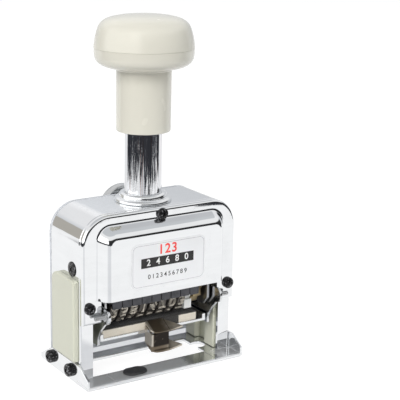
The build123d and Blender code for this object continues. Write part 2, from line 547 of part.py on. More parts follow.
def leaf_z(top, y):
    """Height of a leaf's upper face at y."""
    return top - LEAF_FALL * (CLIP_BACK - y)


def leaf(top):
    """A sloping finger leaf with one pointed wing."""
    back = Polyline(LEAF_TIP, (LEAF_RIGHT, 0), (LEAF_LEFT, 0), LEAF_CORNER)
    front = Spline(LEAF_CORNER, (-3.3, -4.9), (-0.3, -5.6), (4.5, -5.5), LEAF_TIP)
    column = Pos(0, CLIP_BACK, 0) * extrude(make_face([back, front]), 30)
    y0, y1 = CLIP_BACK - 8, CLIP_BACK + 1
    slab = slab_x([(y0, leaf_z(top, y0)), (y1, leaf_z(top, y1)),
                   (y1, leaf_z(top, y1) - LEAF_DEPTH), (y0, leaf_z(top, y0) - LEAF_DEPTH)],
                  LEAF_LEFT - 1, LEAF_TIP[0] + 1)
    return column & slab


def finger_clip():
    """Two leaves that are squeezed to release the tray; a channel on the tray carries them."""
    foot_back, foot_front = (leaf_z(LOWER_LEAF, y) - LEAF_DEPTH for y in (TRAY_FRONT, WEB_FRONT))
    channel = slab_x([(TRAY_FRONT, TRAY_TOP), (WEB_FRONT, WEB_TOP), (WEB_FRONT, foot_front),
                      (TRAY_FRONT, foot_back)], WEB_LEFT, WEB_RIGHT)
    channel -= block((WEB_LEFT + CLIP_WALL, WEB_RIGHT - CLIP_WALL),
                     (WEB_FRONT + CLIP_WALL, TRAY_FRONT + 1), (0, 30))
    lower = channel + leaf(LOWER_LEAF)
    lower -= rod_x(WEB_LEFT - 1, WEB_RIGHT + 1, HINGE_Y, HINGE_Z, PIN_R)
    keep("clip_lower", lower)
    keep("clip_pin", rod_x(WEB_LEFT, WEB_RIGHT, HINGE_Y, HINGE_Z, PIN_R))
    inside = (WEB_LEFT + CLIP_WALL + 0.1, WEB_RIGHT - CLIP_WALL - 0.1)
    upper = block(inside, (HINGE_Y - 0.4, HINGE_Y + 0.4), (HINGE_Z, leaf_z(UPPER_LEAF, HINGE_Y) - 0.3))
    upper += rod_x(*inside, HINGE_Y, HINGE_Z, 0.95)
    upper -= rod_x(inside[0] - 1, inside[1] + 1, HINGE_Y, HINGE_Z, PIN_R + RUNNING)
    keep("clip_upper", upper + leaf(UPPER_LEAF))


# ---------------------------------------------------------------- setting dial and lock button
DIAL_FRONT, DIAL_REAR, POST_R = REAR_FACE + 0.8, 17.6, 1.5


def rear_controls():
    dial = rod_y(DIAL_FRONT, DIAL_REAR, 0, DIAL_Z, DIAL_R)
    dial = chamfer(dial.edges(), 0.3)
    dial += rod_y(REAR_FACE + 0.1, DIAL_FRONT, 0, DIAL_Z, 4.5)
    dial -= rod_y(DIAL_REAR - 0.8, DIAL_REAR + 1, 0, DIAL_Z, 5.2)
    dial -= rod_y(10, 20, 0, DIAL_Z, POST_R + RUNNING)
    keep("repeat_dial", dial)
    post = rod_y(BAND_REAR - 0.6, DIAL_REAR - 0.6, 0, DIAL_Z, POST_R)
    post += rod_y(BAND_REAR - 0.6, BAND_REAR, 0, DIAL_Z, 2.6)
    post += rod_y(DIAL_REAR - 0.6, DIAL_REAR + 0.5, 0, DIAL_Z, 3.0)
    keep("dial_post", post)
    pointer = extrude(facing_front(REAR_FACE + 0.6) * Pos(0, DIAL_Z - DIAL_R - 3.1)
                      * Triangle(a=4.0, b=4.4, c=4.4), 0.6)
    keep("dial_pointer", pointer)

    bush = rod_y(BAND_REAR, REAR_FACE, LOCK_X, LOCK_Z, 3.2)
    bush += rod_y(REAR_FACE, REAR_FACE + 0.6, LOCK_X, LOCK_Z, 4.2)
    keep("lock_bush", bush - rod_y(10, 15, LOCK_X, LOCK_Z, LOCK_R + RUNNING))
    button = rod_y(8.6, 16.0, LOCK_X, LOCK_Z, LOCK_R)
    cap = rod_y(16.0, 17.8, LOCK_X, LOCK_Z, 3.4)
    button += fillet(cap.edges().group_by(Axis.Y)[-1], 0.7)
    button += rod_y(BAND_REAR - 1.1, BAND_REAR - 0.1, LOCK_X, LOCK_Z, 3.0)
    keep("lock_button", button)
    wire_r, turns, length = 0.25, 3, 2.0
    spring = coil(LOCK_R + 0.55, wire_r, turns, length)
    keep("lock_spring", Pos(LOCK_X, REAR_FACE + 0.6 + wire_r, LOCK_Z) * TO_REAR * spring)


def main():
    base()
    case_band()
    front_cover()
    rear_cover()
    guides()
    guide_tube()
    knob()
    carriage()
    detents()
    number_wheels()
    feed_drive()
    ink_frame()
    finger_clip()
    rear_controls()
    os.makedirs("parts", exist_ok=True)
    for name, shape in NODES.items():
        export_step(shape, f"parts/{name}.step")
    print(len(NODES), "nodes")


main()
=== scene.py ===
"""Numbering machine: the finished surfaces and rounded pieces around the construction frame.

Lengths in the building functions are millimetres; every mesh is scaled to metres when it is kept.
+Z is up, -Y is the front with the label, and the origin is the centre of the footprint.
"""

import math

import bmesh
import bpy
from bpy.props import FloatProperty, FloatVectorProperty, IntProperty, PointerProperty, StringProperty
from mathutils import Matrix, Vector, noise


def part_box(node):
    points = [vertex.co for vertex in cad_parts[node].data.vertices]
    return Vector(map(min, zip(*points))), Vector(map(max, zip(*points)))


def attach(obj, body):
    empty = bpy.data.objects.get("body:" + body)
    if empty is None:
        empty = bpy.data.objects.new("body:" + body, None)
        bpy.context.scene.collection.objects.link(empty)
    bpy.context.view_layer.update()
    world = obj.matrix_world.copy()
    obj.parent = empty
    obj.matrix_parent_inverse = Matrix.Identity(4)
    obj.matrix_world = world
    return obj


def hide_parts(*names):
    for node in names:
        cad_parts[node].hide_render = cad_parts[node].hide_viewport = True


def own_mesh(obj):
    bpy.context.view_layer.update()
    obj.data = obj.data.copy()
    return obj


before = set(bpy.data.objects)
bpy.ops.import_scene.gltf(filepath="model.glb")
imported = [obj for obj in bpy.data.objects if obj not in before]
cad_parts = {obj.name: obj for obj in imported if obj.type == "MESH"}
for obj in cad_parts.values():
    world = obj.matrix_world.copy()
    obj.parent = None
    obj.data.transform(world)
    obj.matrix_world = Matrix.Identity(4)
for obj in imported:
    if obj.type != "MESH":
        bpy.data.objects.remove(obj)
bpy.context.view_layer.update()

bl_info = {
    "name": "Numbering Machine",
    "version": (1, 0, 0),
    "blender": (4, 5, 0),
    "location": "View3D > Sidebar > Numbering Machine",
    "description": "Builds a hand numbering machine piece by piece",
    "category": "Object",
}

MM = 0.001


def span(node):
    """A construction node's lowest and highest corners, in millimetres."""
    low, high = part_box(node)
    return low / MM, high / MM


# ------------------------------------------------------------ sizes taken from the frame
BAND_LOW, BAND_HIGH = span("case_band")
CASE_HALF, CASE_TOP, CASE_FOOT = BAND_HIGH.x, BAND_HIGH.z, BAND_LOW.z
BASE_HIGH = span("base_plate")[1]
COVER_LOW = span("front_cover")[0]
REAR_LOW, REAR_HIGH = span("rear_cover")
TUBE_LOW, TUBE_HIGH = span("guide_tube")
COLLAR_LOW, COLLAR_HIGH = span("tube_collar")
NECK_LOW = span("knob_body")[0].z
CAP_LOW, CAP_HIGH = span("knob_cap")
LABEL_LOW, LABEL_HIGH = span("name_label")
FELT_LOW, FELT_HIGH = span("ink_felt")
SHAFT_LOW, SHAFT_HIGH = span("wheel_shaft")
DIAL_LOW, DIAL_HIGH = span("repeat_dial")
PAD_LOW = span("guide_left")[0]
GUIDE_FOOT, GUIDE_HEAD = (corner.z for corner in span("guide_right"))
TUBE_Y = (TUBE_LOW.y + TUBE_HIGH.y) / 2
COLLAR_R = (COLLAR_HIGH.x - COLLAR_LOW.x) / 2
WHEEL_Y, WHEEL_Z = (SHAFT_LOW.y + SHAFT_HIGH.y) / 2, (SHAFT_LOW.z + SHAFT_HIGH.z) / 2
PARTING_Z = CAP_LOW.z
LABEL_Z = (LABEL_LOW.z + LABEL_HIGH.z) / 2

# ------------------------------------------------------------ the machine's own sizes, millimetres
CASE_CORNER, BAND_WALL, BAND_BEND = 11.0, 1.2, 0.8
FLANGE_WIDTH, FLANGE_THICK = 5.4, 1.0
COVER_FACE = BAND_LOW.y - 2.2
COVER_ROLL, SHELL_WALL = 1.2, 1.0
MOUTH_HALF, PANEL_FOOT = 25.3, 31.8
PANEL_ROOT = (27.1, 59.1, 5.5)
PANEL_TOP = (23.6, 55.1, 2.5)
SHEET, SIDE_SHEET, BASE_CORNER = 1.5, 1.0, 1.2
WINDOW_LEFT, WINDOW_RIGHT, WINDOW_Y = -27.0, 22.5, (-10.0, 5.0)
NOTCH_LEFT, NOTCH_RIGHT, NOTCH_R = -28.0, 24.0, 3.0
SIDE_TOP = BASE_HIGH.z
SEAM_X, SEAM_WIDTH, SEAM_DEPTH = 21.9, 0.3, 0.25
TUBE_R, TUBE_BORE_R = 7.0, 5.6
GUIDE_PAD_Y, GUIDE_PAD_Z = (-9.9, 7.1), (8.5, 39.4)
PAD_FRONT_CORNER, PAD_REAR_CORNER = 1.3, 3.4
GUIDE_Y, GUIDE_IN = (-8.8, 10.4), 27.0
CHANNEL_Y, CHANNEL_FLOOR = (-3.0, 4.0), 29.6
SIDE_WINDOW_Y, SIDE_WINDOW_Z = (-7.0, 4.8), (12.0, 37.0)
LOCK_X, LOCK_Z, LOCK_HOLE_R = 19.0, 50.0, 3.2
LAND_R, GROUND_R, DIGIT_R = 9.6, 8.7, 10.0
LAND_HALF_GAP, SHAFT_HOLE_R = 0.65, 1.55
TOOTH_TIP_R, TOOTH_ROOT_R, TOOTH_BACK_ANGLE = 8.3, 7.1, 16
RIM_LOW, RIM_HIGH, RATCHET_HIGH = -1.85, 1.3, 1.8
WHEEL_COUNT, WHEEL_PITCH, FIRST_WHEEL_X = 8, 4.2, -18.9
BLANK_WHEELS = 2
WEB_RIGHT = 3.5

ARC_STEPS = 20
ROUND_STEPS = 96


# ------------------------------------------------------------ settings a user would change
class KnobSettings(bpy.types.PropertyGroup):
    colour: FloatVectorProperty(
        name="Knob Colour", description="Moulded plastic of the press knob",
        subtype="COLOR", size=3, min=0, max=1, default=(0.765, 0.742, 0.650))
    ridge: FloatProperty(
        name="Parting Ridge", description="How far the moulding line stands out, in millimetres",
        default=0.10, min=0.0, max=0.5)
    roughness: FloatProperty(
        name="Knob Roughness", description="Gloss of the knob", subtype="FACTOR",
        default=0.22, min=0.02, max=1.0)


class CaseSettings(bpy.types.PropertyGroup):
    chrome: FloatVectorProperty(
        name="Chrome Colour", description="Plating of the case and the base",
        subtype="COLOR", size=3, min=0, max=1, default=(0.80, 0.81, 0.82))
    guide: FloatVectorProperty(
        name="Guide Colour", description="Moulded guides in the sides of the case",
        subtype="COLOR", size=3, min=0, max=1, default=(0.66, 0.665, 0.55))
    screw_seed: IntProperty(
        name="Screw Seed", description="Turns each screw's cross recess another way", default=7)


class WheelSettings(bpy.types.PropertyGroup):
    digit_height: FloatProperty(
        name="Digit Height", description="Height of the raised figures, in millimetres",
        default=4.3, min=1.0, max=5.0)
    metal: FloatVectorProperty(
        name="Wheel Metal", description="Bare metal of the raised figures",
        subtype="COLOR", size=3, min=0, max=1, default=(0.80, 0.74, 0.64))
    felt: FloatVectorProperty(
        name="Felt Colour", description="The ink felt", subtype="COLOR", size=3, min=0, max=1,
        default=(0.90, 0.83, 0.71))


class LabelSettings(bpy.types.PropertyGroup):
    red_figures: StringProperty(
        name="Red Figures", description="Plain figures at the head of the label", default="123")
    bar_figures: StringProperty(
        name="Bar Figures", description="White figures in the black bar", default="24680")
    small_figures: StringProperty(
        name="Small Figures", description="The small row under the bar", default="0123456789")
    bar_width: FloatProperty(
        name="Bar Width", description="Length of the black bar, in millimetres", default=22.6,
        min=5.0, max=30.0)


class StageSettings(bpy.types.PropertyGroup):
    lens: FloatProperty(
        name="Lens", description="Focal length of the camera, in millimetres", default=105.3,
        min=20.0, max=300.0)
    lamp: FloatProperty(
        name="Lamp Level", description="Scales every lamp", subtype="FACTOR", default=1.0,
        min=0.0, max=5.0)


class MachineSettings(bpy.types.PropertyGroup):
    knob: PointerProperty(type=KnobSettings)
    case: PointerProperty(type=CaseSettings)
    wheels: PointerProperty(type=WheelSettings)
    label: PointerProperty(type=LabelSettings)
    stage: PointerProperty(type=StageSettings)


# ------------------------------------------------------------ node expressions
class Wire:
    """An output socket of a node tree that takes part in sums; without a socket, the tree."""

    def __init__(self, tree, socket=None):
        self.tree, self.socket = tree, socket

    def node(self, kind, settings=None, inputs=None, output=0):
        """Adds one node: its settings first, then its sockets' values or links."""
        made = self.tree.nodes.new(kind)
        for name, value in (settings or {}).items():
            if name == "stops":
                ramp = made.color_ramp
                while len(ramp.elements) < len(value):
                    ramp.elements.new(1.0)
                for element, (place, colour) in zip(ramp.elements, value):
                    element.position = place
                    element.color = (*colour, 1.0)
            else:
                setattr(made, name, value)
        for key, value in (inputs or {}).items():
            if isinstance(value, Wire):
                self.tree.links.new(value.socket, made.inputs[key])
            elif isinstance(value, tuple) and made.inputs[key].type == "RGBA" and len(value) == 3:
                made.inputs[key].default_value = (*value, 1.0)
            else:
                made.inputs[key].default_value = value
        return Wire(self.tree, made.outputs[output] if made.outputs else None)

    def math(self, operation, first, second=0.0):
        return self.node("ShaderNodeMath", {"operation": operation}, {0: first, 1: second})

    def __add__(self, other):
        return self.math("ADD", self, other)

    def __sub__(self, other):
        return self.math("SUBTRACT", self, other)

    def __rsub__(self, other):
        return self.math("SUBTRACT", other, self)

    def __mul__(self, other):
        return self.math("MULTIPLY", self, other)

    def __truediv__(self, other):
        return self.math("DIVIDE", self, other)

    __radd__, __rmul__ = __add__, __mul__

    def __pow__(self, other):
        return self.math("POWER", self, other)

    def axes(self):
        """The three numbers of a vector."""
        made = self.node("ShaderNodeSeparateXYZ", {}, {0: self}).socket.node
        return [Wire(self.tree, made.outputs[i]) for i in range(3)]

    def ramp(self, low, high):
        """0 below low, 1 above high and smooth between; low may be the larger."""
        return self.node("ShaderNodeMapRange", {"interpolation_type": "SMOOTHSTEP"},
                         {0: self, 1: low, 2: high, 3: 0.0, 4: 1.0})

    def blend(self, low, high):
        """Two colours mixed by this number."""
        return self.node("ShaderNodeMix", {"data_type": "RGBA", "clamp_factor": True},
                         {0: self, 6: low, 7: high}, 2)

    def shades(self, colour, low, high):
        """One colour, from a low to a high strength of itself by this number."""
        return self.blend(shade(colour, low), shade(colour, high))

    def rays(self):
        """Whether a ray comes from the camera, from a reflection or through something clear."""
        path = self.node("ShaderNodeLightPath").socket.node
        return [Wire(self.tree, path.outputs[kind]) for kind in (
            "Is Camera Ray", "Is Glossy Ray", "Is Transmission Ray")]


class Finish(Wire):
    """A material under construction, with patterns that read the piece's own millimetres."""

    def __init__(self, name):
        self.material = bpy.data.materials.new(name)
        self.material.use_nodes = True
        super().__init__(self.material.node_tree)
        self.tree.nodes.clear()
        place = self.node("ShaderNodeTexCoord", output=3)
        self.place = self.node("ShaderNodeVectorMath", {"operation": "SCALE"}, {0: place, 3: 1 / MM})

    def grain(self, scale, detail, roughness=0.5, distortion=0.0):
        """Noise with so many features to the millimetre, on every axis or on each of three."""
        scale = scale if isinstance(scale, tuple) else (scale,) * 3
        place = self.node("ShaderNodeVectorMath", {"operation": "MULTIPLY"}, {0: self.place, 1: scale})
        return self.node("ShaderNodeTexNoise", {}, {
            "Vector": place, "Scale": 1.0, "Detail": detail, "Roughness": roughness,
            "Distortion": distortion})

    def lumps(self, height, strength, distance, over=None):
        """A bump of so many millimetres, on top of another one if given."""
        inputs = {"Height": height, "Strength": strength, "Distance": distance * MM}
        if over is not None:
            inputs["Normal"] = over
        return self.node("ShaderNodeBump", {}, inputs)

    def surface(self, colour, roughness, metallic=0.0, normal=None, **constants):
        """Closes the material with a Principled surface."""
        inputs = {"Base Color": colour, "Roughness": roughness, "Metallic": metallic}
        if normal is not None:
            inputs["Normal"] = normal
        inputs.update(constants)
        shader = self.node("ShaderNodeBsdfPrincipled", {}, inputs)
        self.node("ShaderNodeOutputMaterial", {}, {"Surface": shader})
        return self.material


# ------------------------------------------------------------ finishes
def shade(colour, factor):
    """A colour made lighter or darker."""
    return tuple(part * factor for part in colour)


def polished_chrome(colour):
    """Nickel-chrome plating: faint waves, wiping marks, a rubbed top and a duller front strip."""
    m = Finish("polished_chrome")
    x, y, z = m.place.axes()
    wipe = m.grain((0.05, 0.05, 0.35), 4.0)
    smudge = m.grain((0.12, 0.12, 0.09), 3.0).ramp(0.48, 0.75)
    scratches = m.grain((0.6, 9.0, 0.5), 2.0).ramp(0.66, 0.74)
    top = z.ramp(CASE_TOP - 1.2, CASE_TOP - 0.2) * y.ramp(COVER_FACE, BAND_LOW.y)
    brush = m.grain((0.5, 5.0, 2.0), 4.0, 0.6)
    tone = wipe.shades(colour, 0.95, 1.05)
    tone = (smudge * 0.35).blend(tone, shade(colour, 0.90))
    # painted light: the top is lighter towards the left, where the light falls, with brush marks a little
    # darker
    top_lit_left_brushed = x.ramp(18.0, -26.0).shades(colour, 0.96, 1.22)
    top_lit_left_brushed = (brush.ramp(0.35, 0.75) * 0.5).blend(top_lit_left_brushed, shade(colour, 0.90))
    tone = top.blend(tone, top_lit_left_brushed)
    # the front strip of the base sheet, apart from one stretch that is still bright
    worn = z.ramp(SHEET + 0.3, SHEET) * y.ramp(WINDOW_Y[0], WINDOW_Y[0] - 1.0)
    worn = worn * (1 - x.ramp(9.0, 13.0) * x.ramp(25.0, 23.0) * 0.8)
    rough = 0.03 + smudge * 0.05 + scratches * 0.04 + top * 0.13
    wave = m.grain((0.045, 0.045, 0.07), 2.0)
    normal = m.lumps(wave, 0.10, 1.0)
    normal = m.lumps(brush * (0.04 + top), 0.06, 0.06, normal)
    return m.surface(tone, rough, 1 - worn * 0.36, normal)


def streaked_chrome(colour):
    """The drawn tube: long polishing streaks, grease marks and rubbed patches."""
    m = Finish("streaked_chrome")
    streak = m.grain((1.5, 1.5, 0.035), 4.0, 0.65)
    blotch = m.grain((0.55, 0.55, 0.16), 5.0, 0.7, 0.6)
    speck = m.grain((2.6, 2.6, 1.6), 4.0, 0.7)
    rub = blotch.ramp(0.50, 0.62) * streak.ramp(0.40, 0.58)
    painted_warm_reflections = m.grain((1.9, 1.9, 0.016), 2.0).ramp(0.63, 0.68)
    # the streaks' darker stretches are partly painted reflection, standing in for dark bands mirrored in the
    # tube
    tone = streak.ramp(0.35, 0.65).shades(colour, 0.80, 1.08)
    # painted reflection: thin warm lines stand in for coloured things mirrored in the tube
    tone = (painted_warm_reflections * 0.65).blend(tone, (0.50, 0.30, 0.24))
    rough = 0.03 + rub * 0.12 + speck.ramp(0.50, 0.72) * 0.12
    normal = m.lumps(streak, 0.05, 0.12)
    return m.surface(tone, rough, 1.0, m.lumps(speck, 0.05, 0.08, normal))


def moulded_plastic(name, colour, roughness, dust=0.05):
    """Glossy moulded plastic with flow marks, fine pitting and a little handling."""
    m = Finish(name)
    cloud = m.grain((0.07, 0.07, 0.05), 3.0)
    speck = m.grain(3.0, 2.0).ramp(0.70, 0.78)
    tone = cloud.shades(colour, 0.975, 1.02)
    tone = (speck * dust).blend(tone, shade(colour, 0.6))
    rough = roughness + cloud * 0.08 + speck * 0.1
    peel = m.grain(0.9, 2.0)
    return m.surface(tone, rough, 0.0, m.lumps(peel, 0.035, 0.12),
                     **{"Coat Weight": 0.35, "Coat Roughness": 0.06, "IOR": 1.5})


def black_oxide():
    """Blackened screws: dark, a little oily, greyer where a driver has rubbed."""
    m = Finish("black_oxide")
    mottle = m.grain(1.1, 4.0, 0.6)
    # painted highlight: broad grey patches stand in for the light the domed heads catch
    rub = mottle.ramp(0.53, 0.64)
    tone = rub.blend((0.010, 0.010, 0.011), (0.20, 0.20, 0.21))
    return m.surface(tone, 0.24 + mottle * 0.18, 0.5, m.lumps(mottle, 0.30, 0.10))


def spring_steel(colour):
    """Blued spring steel with lengthwise grinding."""
    m = Finish("spring_steel")
    grind = m.grain((6.0, 6.0, 0.35), 4.0)
    stain = m.grain((0.35, 0.35, 0.5), 4.0).ramp(0.4, 0.7)
    tone = grind.shades(colour, 0.75, 1.25)
    tone = (stain * 0.5).blend(tone, shade(colour, 0.6))
    return m.surface(tone, 0.42 + stain * 0.12, 0.55, m.lumps(grind, 0.3, 0.06))


def figured_metal(colour):
    """Number wheels: inked ground, rubbed bright figures, black towards the print line."""
    m = Finish("figured_metal")
    _, y, z = m.place.axes()
    across, down = y - WHEEL_Y, z - WHEEL_Z
    reach = (across * across + down * down) ** 0.5
    relief = reach.ramp(LAND_R + 0.05, DIGIT_R - 0.06)
    mottle = m.grain(1.1, 5.0, 0.65)
    inked = down.ramp(-0.66 * DIGIT_R, -0.82 * DIGIT_R)
    land = reach.ramp(GROUND_R, LAND_R)
    tone = land.blend((0.02, 0.018, 0.017), (0.06, 0.052, 0.044))
    bright = mottle.ramp(0.32, 0.60).shades(colour, 0.60, 1.08)
    tone = relief.blend(tone, bright)
    tone = (mottle.ramp(0.58, 0.70) * (1 - relief) * 0.6).blend(tone, shade(colour, 0.45))
    tone = (inked * 0.94).blend(tone, (0.010, 0.009, 0.010))
    rough = 0.34 + mottle * 0.18 - inked * 0.1
    return m.surface(tone, rough, 0.05 + relief * 0.10, m.lumps(mottle, 0.35, 0.10))


def turned_metal(name, colour, roughness, stain, metallic=1.0, lay=4.0):
    """Machined or drawn metal with a lay, a little tarnish and handling marks."""
    m = Finish(name)
    lines = m.grain(lay, 3.0)
    tarnish = m.grain(0.28, 5.0, 0.62).ramp(0.42, 0.72)
    tone = lines.shades(colour, 0.88, 1.05)
    tone = (tarnish * stain).blend(tone, shade(colour, 0.45))
    rough = roughness + tarnish * 0.14 + lines * 0.05
    return m.surface(tone, rough, metallic, m.lumps(lines, 0.18, 0.05))


def warm_nickel():
    """The finger clip: yellowed nickel with broad dark tarnish that follows the sheet."""
    m = Finish("warm_nickel")
    x, y, z = m.place.axes()
    flow = m.grain((0.16, 0.22, 0.16), 4.0, 0.6, 0.8)
    brush = m.grain((0.7, 5.0, 5.0), 3.0)
    # painted shade: darker towards the back, lighter towards the tip, where the light falls
    painted_shade_to_tip = (x + flow * 5.0).ramp(3.0, 10.0)
    tone = painted_shade_to_tip.blend((0.15, 0.12, 0.085), (0.60, 0.55, 0.47))
    tone = (brush.ramp(0.50, 0.8) * 0.35).blend(tone, (0.16, 0.13, 0.10))
    # painted shadow: the web between the leaves and a thin line along its right edge are dark, with painted
    # glints
    painted_web_shadow = z.ramp(15.4, 14.8) * z.ramp(9.0, 9.8) * x.ramp(-3.6, -2.8) * y.ramp(-12.6, -13.2)
    side = x.ramp(WEB_RIGHT - 0.15, WEB_RIGHT - 0.05) * x.ramp(WEB_RIGHT + 0.15, WEB_RIGHT + 0.05)
    painted_glints = m.grain(0.5, 3.0).ramp(0.58, 0.78)
    shaded = painted_glints.blend((0.022, 0.018, 0.015), (0.26, 0.22, 0.18))
    # painted highlight: the left wall is made lighter
    tone = (x.ramp(-3.0, -3.6) * z.ramp(9.4, 10.2)).blend(tone, (0.52, 0.48, 0.42))
    tone = m.math("MAXIMUM", painted_web_shadow, side * 0.8).blend(tone, shaded)
    return m.surface(tone, 0.20 + flow * 0.16 + brush * 0.05, 0.85, m.lumps(brush, 0.15, 0.06))


def woollen_felt(colour):
    """Pressed wool: matted fibres and darker hairs, inked on top and down one stretch of the side."""
    m = Finish("woollen_felt")
    x, _, z = m.place.axes()
    mat = m.grain((1.1, 1.1, 1.6), 6.0, 0.72, 1.2)
    hair = m.grain((5.0, 1.2, 5.0), 4.0, 0.6, 2.5)
    tone = mat.shades(colour, 0.82, 1.08)
    tone = (hair.ramp(0.60, 0.72) * 0.35).blend(tone, shade(colour, 0.55))
    soaked = (z + mat * 0.4).ramp(FELT_HIGH.z - 0.55, FELT_HIGH.z - 0.25)
    # one stretch along the felt, from about 4 to 12 mm, is made black from top to bottom
    ragged = x + mat * 0.5
    black_stretch = ragged.ramp(4.2, 4.7) * ragged.ramp(12.0, 11.5)
    # the inked top together with the black stretch
    inked = m.math("MAXIMUM", soaked, black_stretch)
    tone = (inked * 0.97).blend(tone, (0.008, 0.008, 0.009))
    normal = m.lumps(mat, 0.7, 0.35)
    normal = m.lumps(hair, 0.5, 0.12, normal)
    return m.surface(tone, 0.92 - inked * 0.3, 0.0, normal,
                     **{"Sheen Weight": 0.25, "Sheen Roughness": 0.5})


def soft_rubber():
    """The sight pad: black rubber with a little dust."""
    m = Finish("soft_rubber")
    grain = m.grain(2.6, 4.0, 0.6)
    dust = m.grain(0.5, 3.0).ramp(0.5, 0.8)
    tone = grain.blend((0.014, 0.014, 0.015), (0.032, 0.032, 0.034))
    tone = (dust * 0.3).blend(tone, (0.09, 0.09, 0.095))
    return m.surface(tone, 0.38 + grain * 0.2, 0.0, m.lumps(grain, 0.4, 0.08))


def label_metal():
    """Satin plate of the label, a shade duller than the panel around it."""
    m = Finish("label_metal")
    satin = m.grain(3.0, 3.0)
    cloud = m.grain(0.10, 3.0)
    tone = satin.blend((0.87, 0.875, 0.89), (0.90, 0.905, 0.92))
    tone = (cloud.ramp(0.45, 0.7) * 0.25).blend(tone, (0.85, 0.855, 0.87))
    return m.surface(tone, 0.34 + satin * 0.08, 0.35, m.lumps(cloud, 0.02, 0.2))


def printing_ink(name, colour):
    """Ink that covers a little unevenly."""
    m = Finish(name)
    cover = m.grain(4.0, 3.0)
    return m.surface(cover.ramp(0.3, 0.8).shades(colour, 1.0, 1.25), 0.45 + cover * 0.15)


FINISHES = {}


def build_finishes(knob, case, wheels):
    """Every material of the machine, by the name its pieces ask for."""
    FINISHES.update({
        "chrome": polished_chrome(tuple(case.chrome)),
        "satin": turned_metal("satin_chrome", (0.68, 0.70, 0.74), 0.40, 0.12, 0.35, (0.5, 2.0, 4.0)),
        "tube": streaked_chrome((0.78, 0.79, 0.81)),
        "knob": moulded_plastic("knob_plastic", tuple(knob.colour), knob.roughness),
        "guide": moulded_plastic("guide_plastic", tuple(case.guide), 0.34, 0.12),
        "nylon": moulded_plastic("white_nylon", (0.84, 0.84, 0.82), 0.35),
        "screw": black_oxide(),
        "spring": spring_steel((0.090, 0.091, 0.100)),
        "wheel": figured_metal(tuple(wheels.metal)),
        "brass": turned_metal("brass", (0.40, 0.32, 0.19), 0.26, 0.5),
        "steel": turned_metal("steel", (0.56, 0.565, 0.57), 0.28, 0.3),
        "arm": turned_metal("arm_steel", (0.70, 0.71, 0.72), 0.10, 0.12, lay=(2.0, 0.4, 3.0)),
        "tray": turned_metal("tray_steel", (0.78, 0.79, 0.80), 0.08, 0.10, lay=(0.3, 3.0, 3.0)),
        "clip": warm_nickel(),
        "wire": turned_metal("spring_wire", (0.45, 0.46, 0.48), 0.25, 0.3),
        "dial": turned_metal("dial_metal", (0.62, 0.63, 0.63), 0.16, 0.2),
        "felt": woollen_felt(tuple(wheels.felt)),
        "rubber": soft_rubber(),
        "label": label_metal(),
        "red": printing_ink("red_ink", (0.83, 0.060, 0.045)),
        "black": printing_ink("black_ink", (0.020, 0.018, 0.018)),
        "white": printing_ink("white_ink", (0.80, 0.80, 0.79)),
        "grey": printing_ink("grey_ink", (0.46, 0.46, 0.48)),
    })


# ------------------------------------------------------------ mesh helpers
def linked(name, data):
    """A new object in the scene that holds a mesh, curve, lamp or camera."""
    obj = bpy.data.objects.new(name, data)
    bpy.context.scene.collection.objects.link(obj)
    return obj


def evaluated(obj):
    """The object's mesh with its modifiers applied; the object is removed."""
    graph = bpy.context.evaluated_depsgraph_get()
    mesh = bpy.data.meshes.new_from_object(obj.evaluated_get(graph))
    bpy.data.objects.remove(obj)
    return mesh


def mesh_of(bm, outward=True):
    """A bmesh as a mesh, with doubles merged and its faces turned outwards."""
    bmesh.ops.remove_doubles(bm, verts=bm.verts, dist=0.0005)
    if outward:
        bmesh.ops.recalc_face_normals(bm, faces=bm.faces)
    mesh = bpy.data.meshes.new("part")
    bm.to_mesh(mesh)
    bm.free()
    return mesh


def cleaned(mesh):
    """A mesh with its doubles merged and its faces turned outwards."""
    bm = bmesh.new()
    bm.from_mesh(mesh)
    return mesh_of(bm)


def with_modifier(mesh, kind, settings):
    """A mesh with one modifier applied."""
    obj = linked("worked", mesh)
    modifier = obj.modifiers.new(kind.lower(), kind)
    for name, value in settings.items():
        setattr(modifier, name, value)
    return evaluated(obj)


def together(*meshes):
    """Several closed meshes in one."""
    bm = bmesh.new()
    for mesh in meshes:
        bm.from_mesh(mesh)
    joined = bpy.data.meshes.new("joined")
    bm.to_mesh(joined)
    bm.free()
    return joined


def cut(mesh, *cutters, operation="DIFFERENCE"):
    """Cuts holes with closed meshes, or adds them with UNION."""
    for cutter in cutters:
        tool = linked("cutter", cutter)
        mesh = with_modifier(mesh, "BOOLEAN",
                             {"object": tool, "operation": operation, "solver": "EXACT"})
        bpy.data.objects.remove(tool)
    return mesh


def rounded(mesh, width, segments=2, angle=35):
    """Rounds every edge that is sharper than the angle and keeps the flats flat."""
    return with_modifier(mesh, "BEVEL", {
        "width": width, "segments": segments, "limit_method": "ANGLE",
        "angle_limit": math.radians(angle), "miter_outer": "MITER_ARC"})


def dressed(node, width):
    """A copy of a construction node's mesh in millimetres, merged and with rounded edges."""
    bm = bmesh.new()
    bm.from_mesh(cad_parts[node].data)
    bmesh.ops.scale(bm, vec=(1 / MM,) * 3, verts=bm.verts)
    bmesh.ops.remove_doubles(bm, verts=bm.verts, dist=0.002)
    bmesh.ops.dissolve_limit(bm, angle_limit=math.radians(1.0), verts=bm.verts, edges=bm.edges)
    return rounded(mesh_of(bm), width)


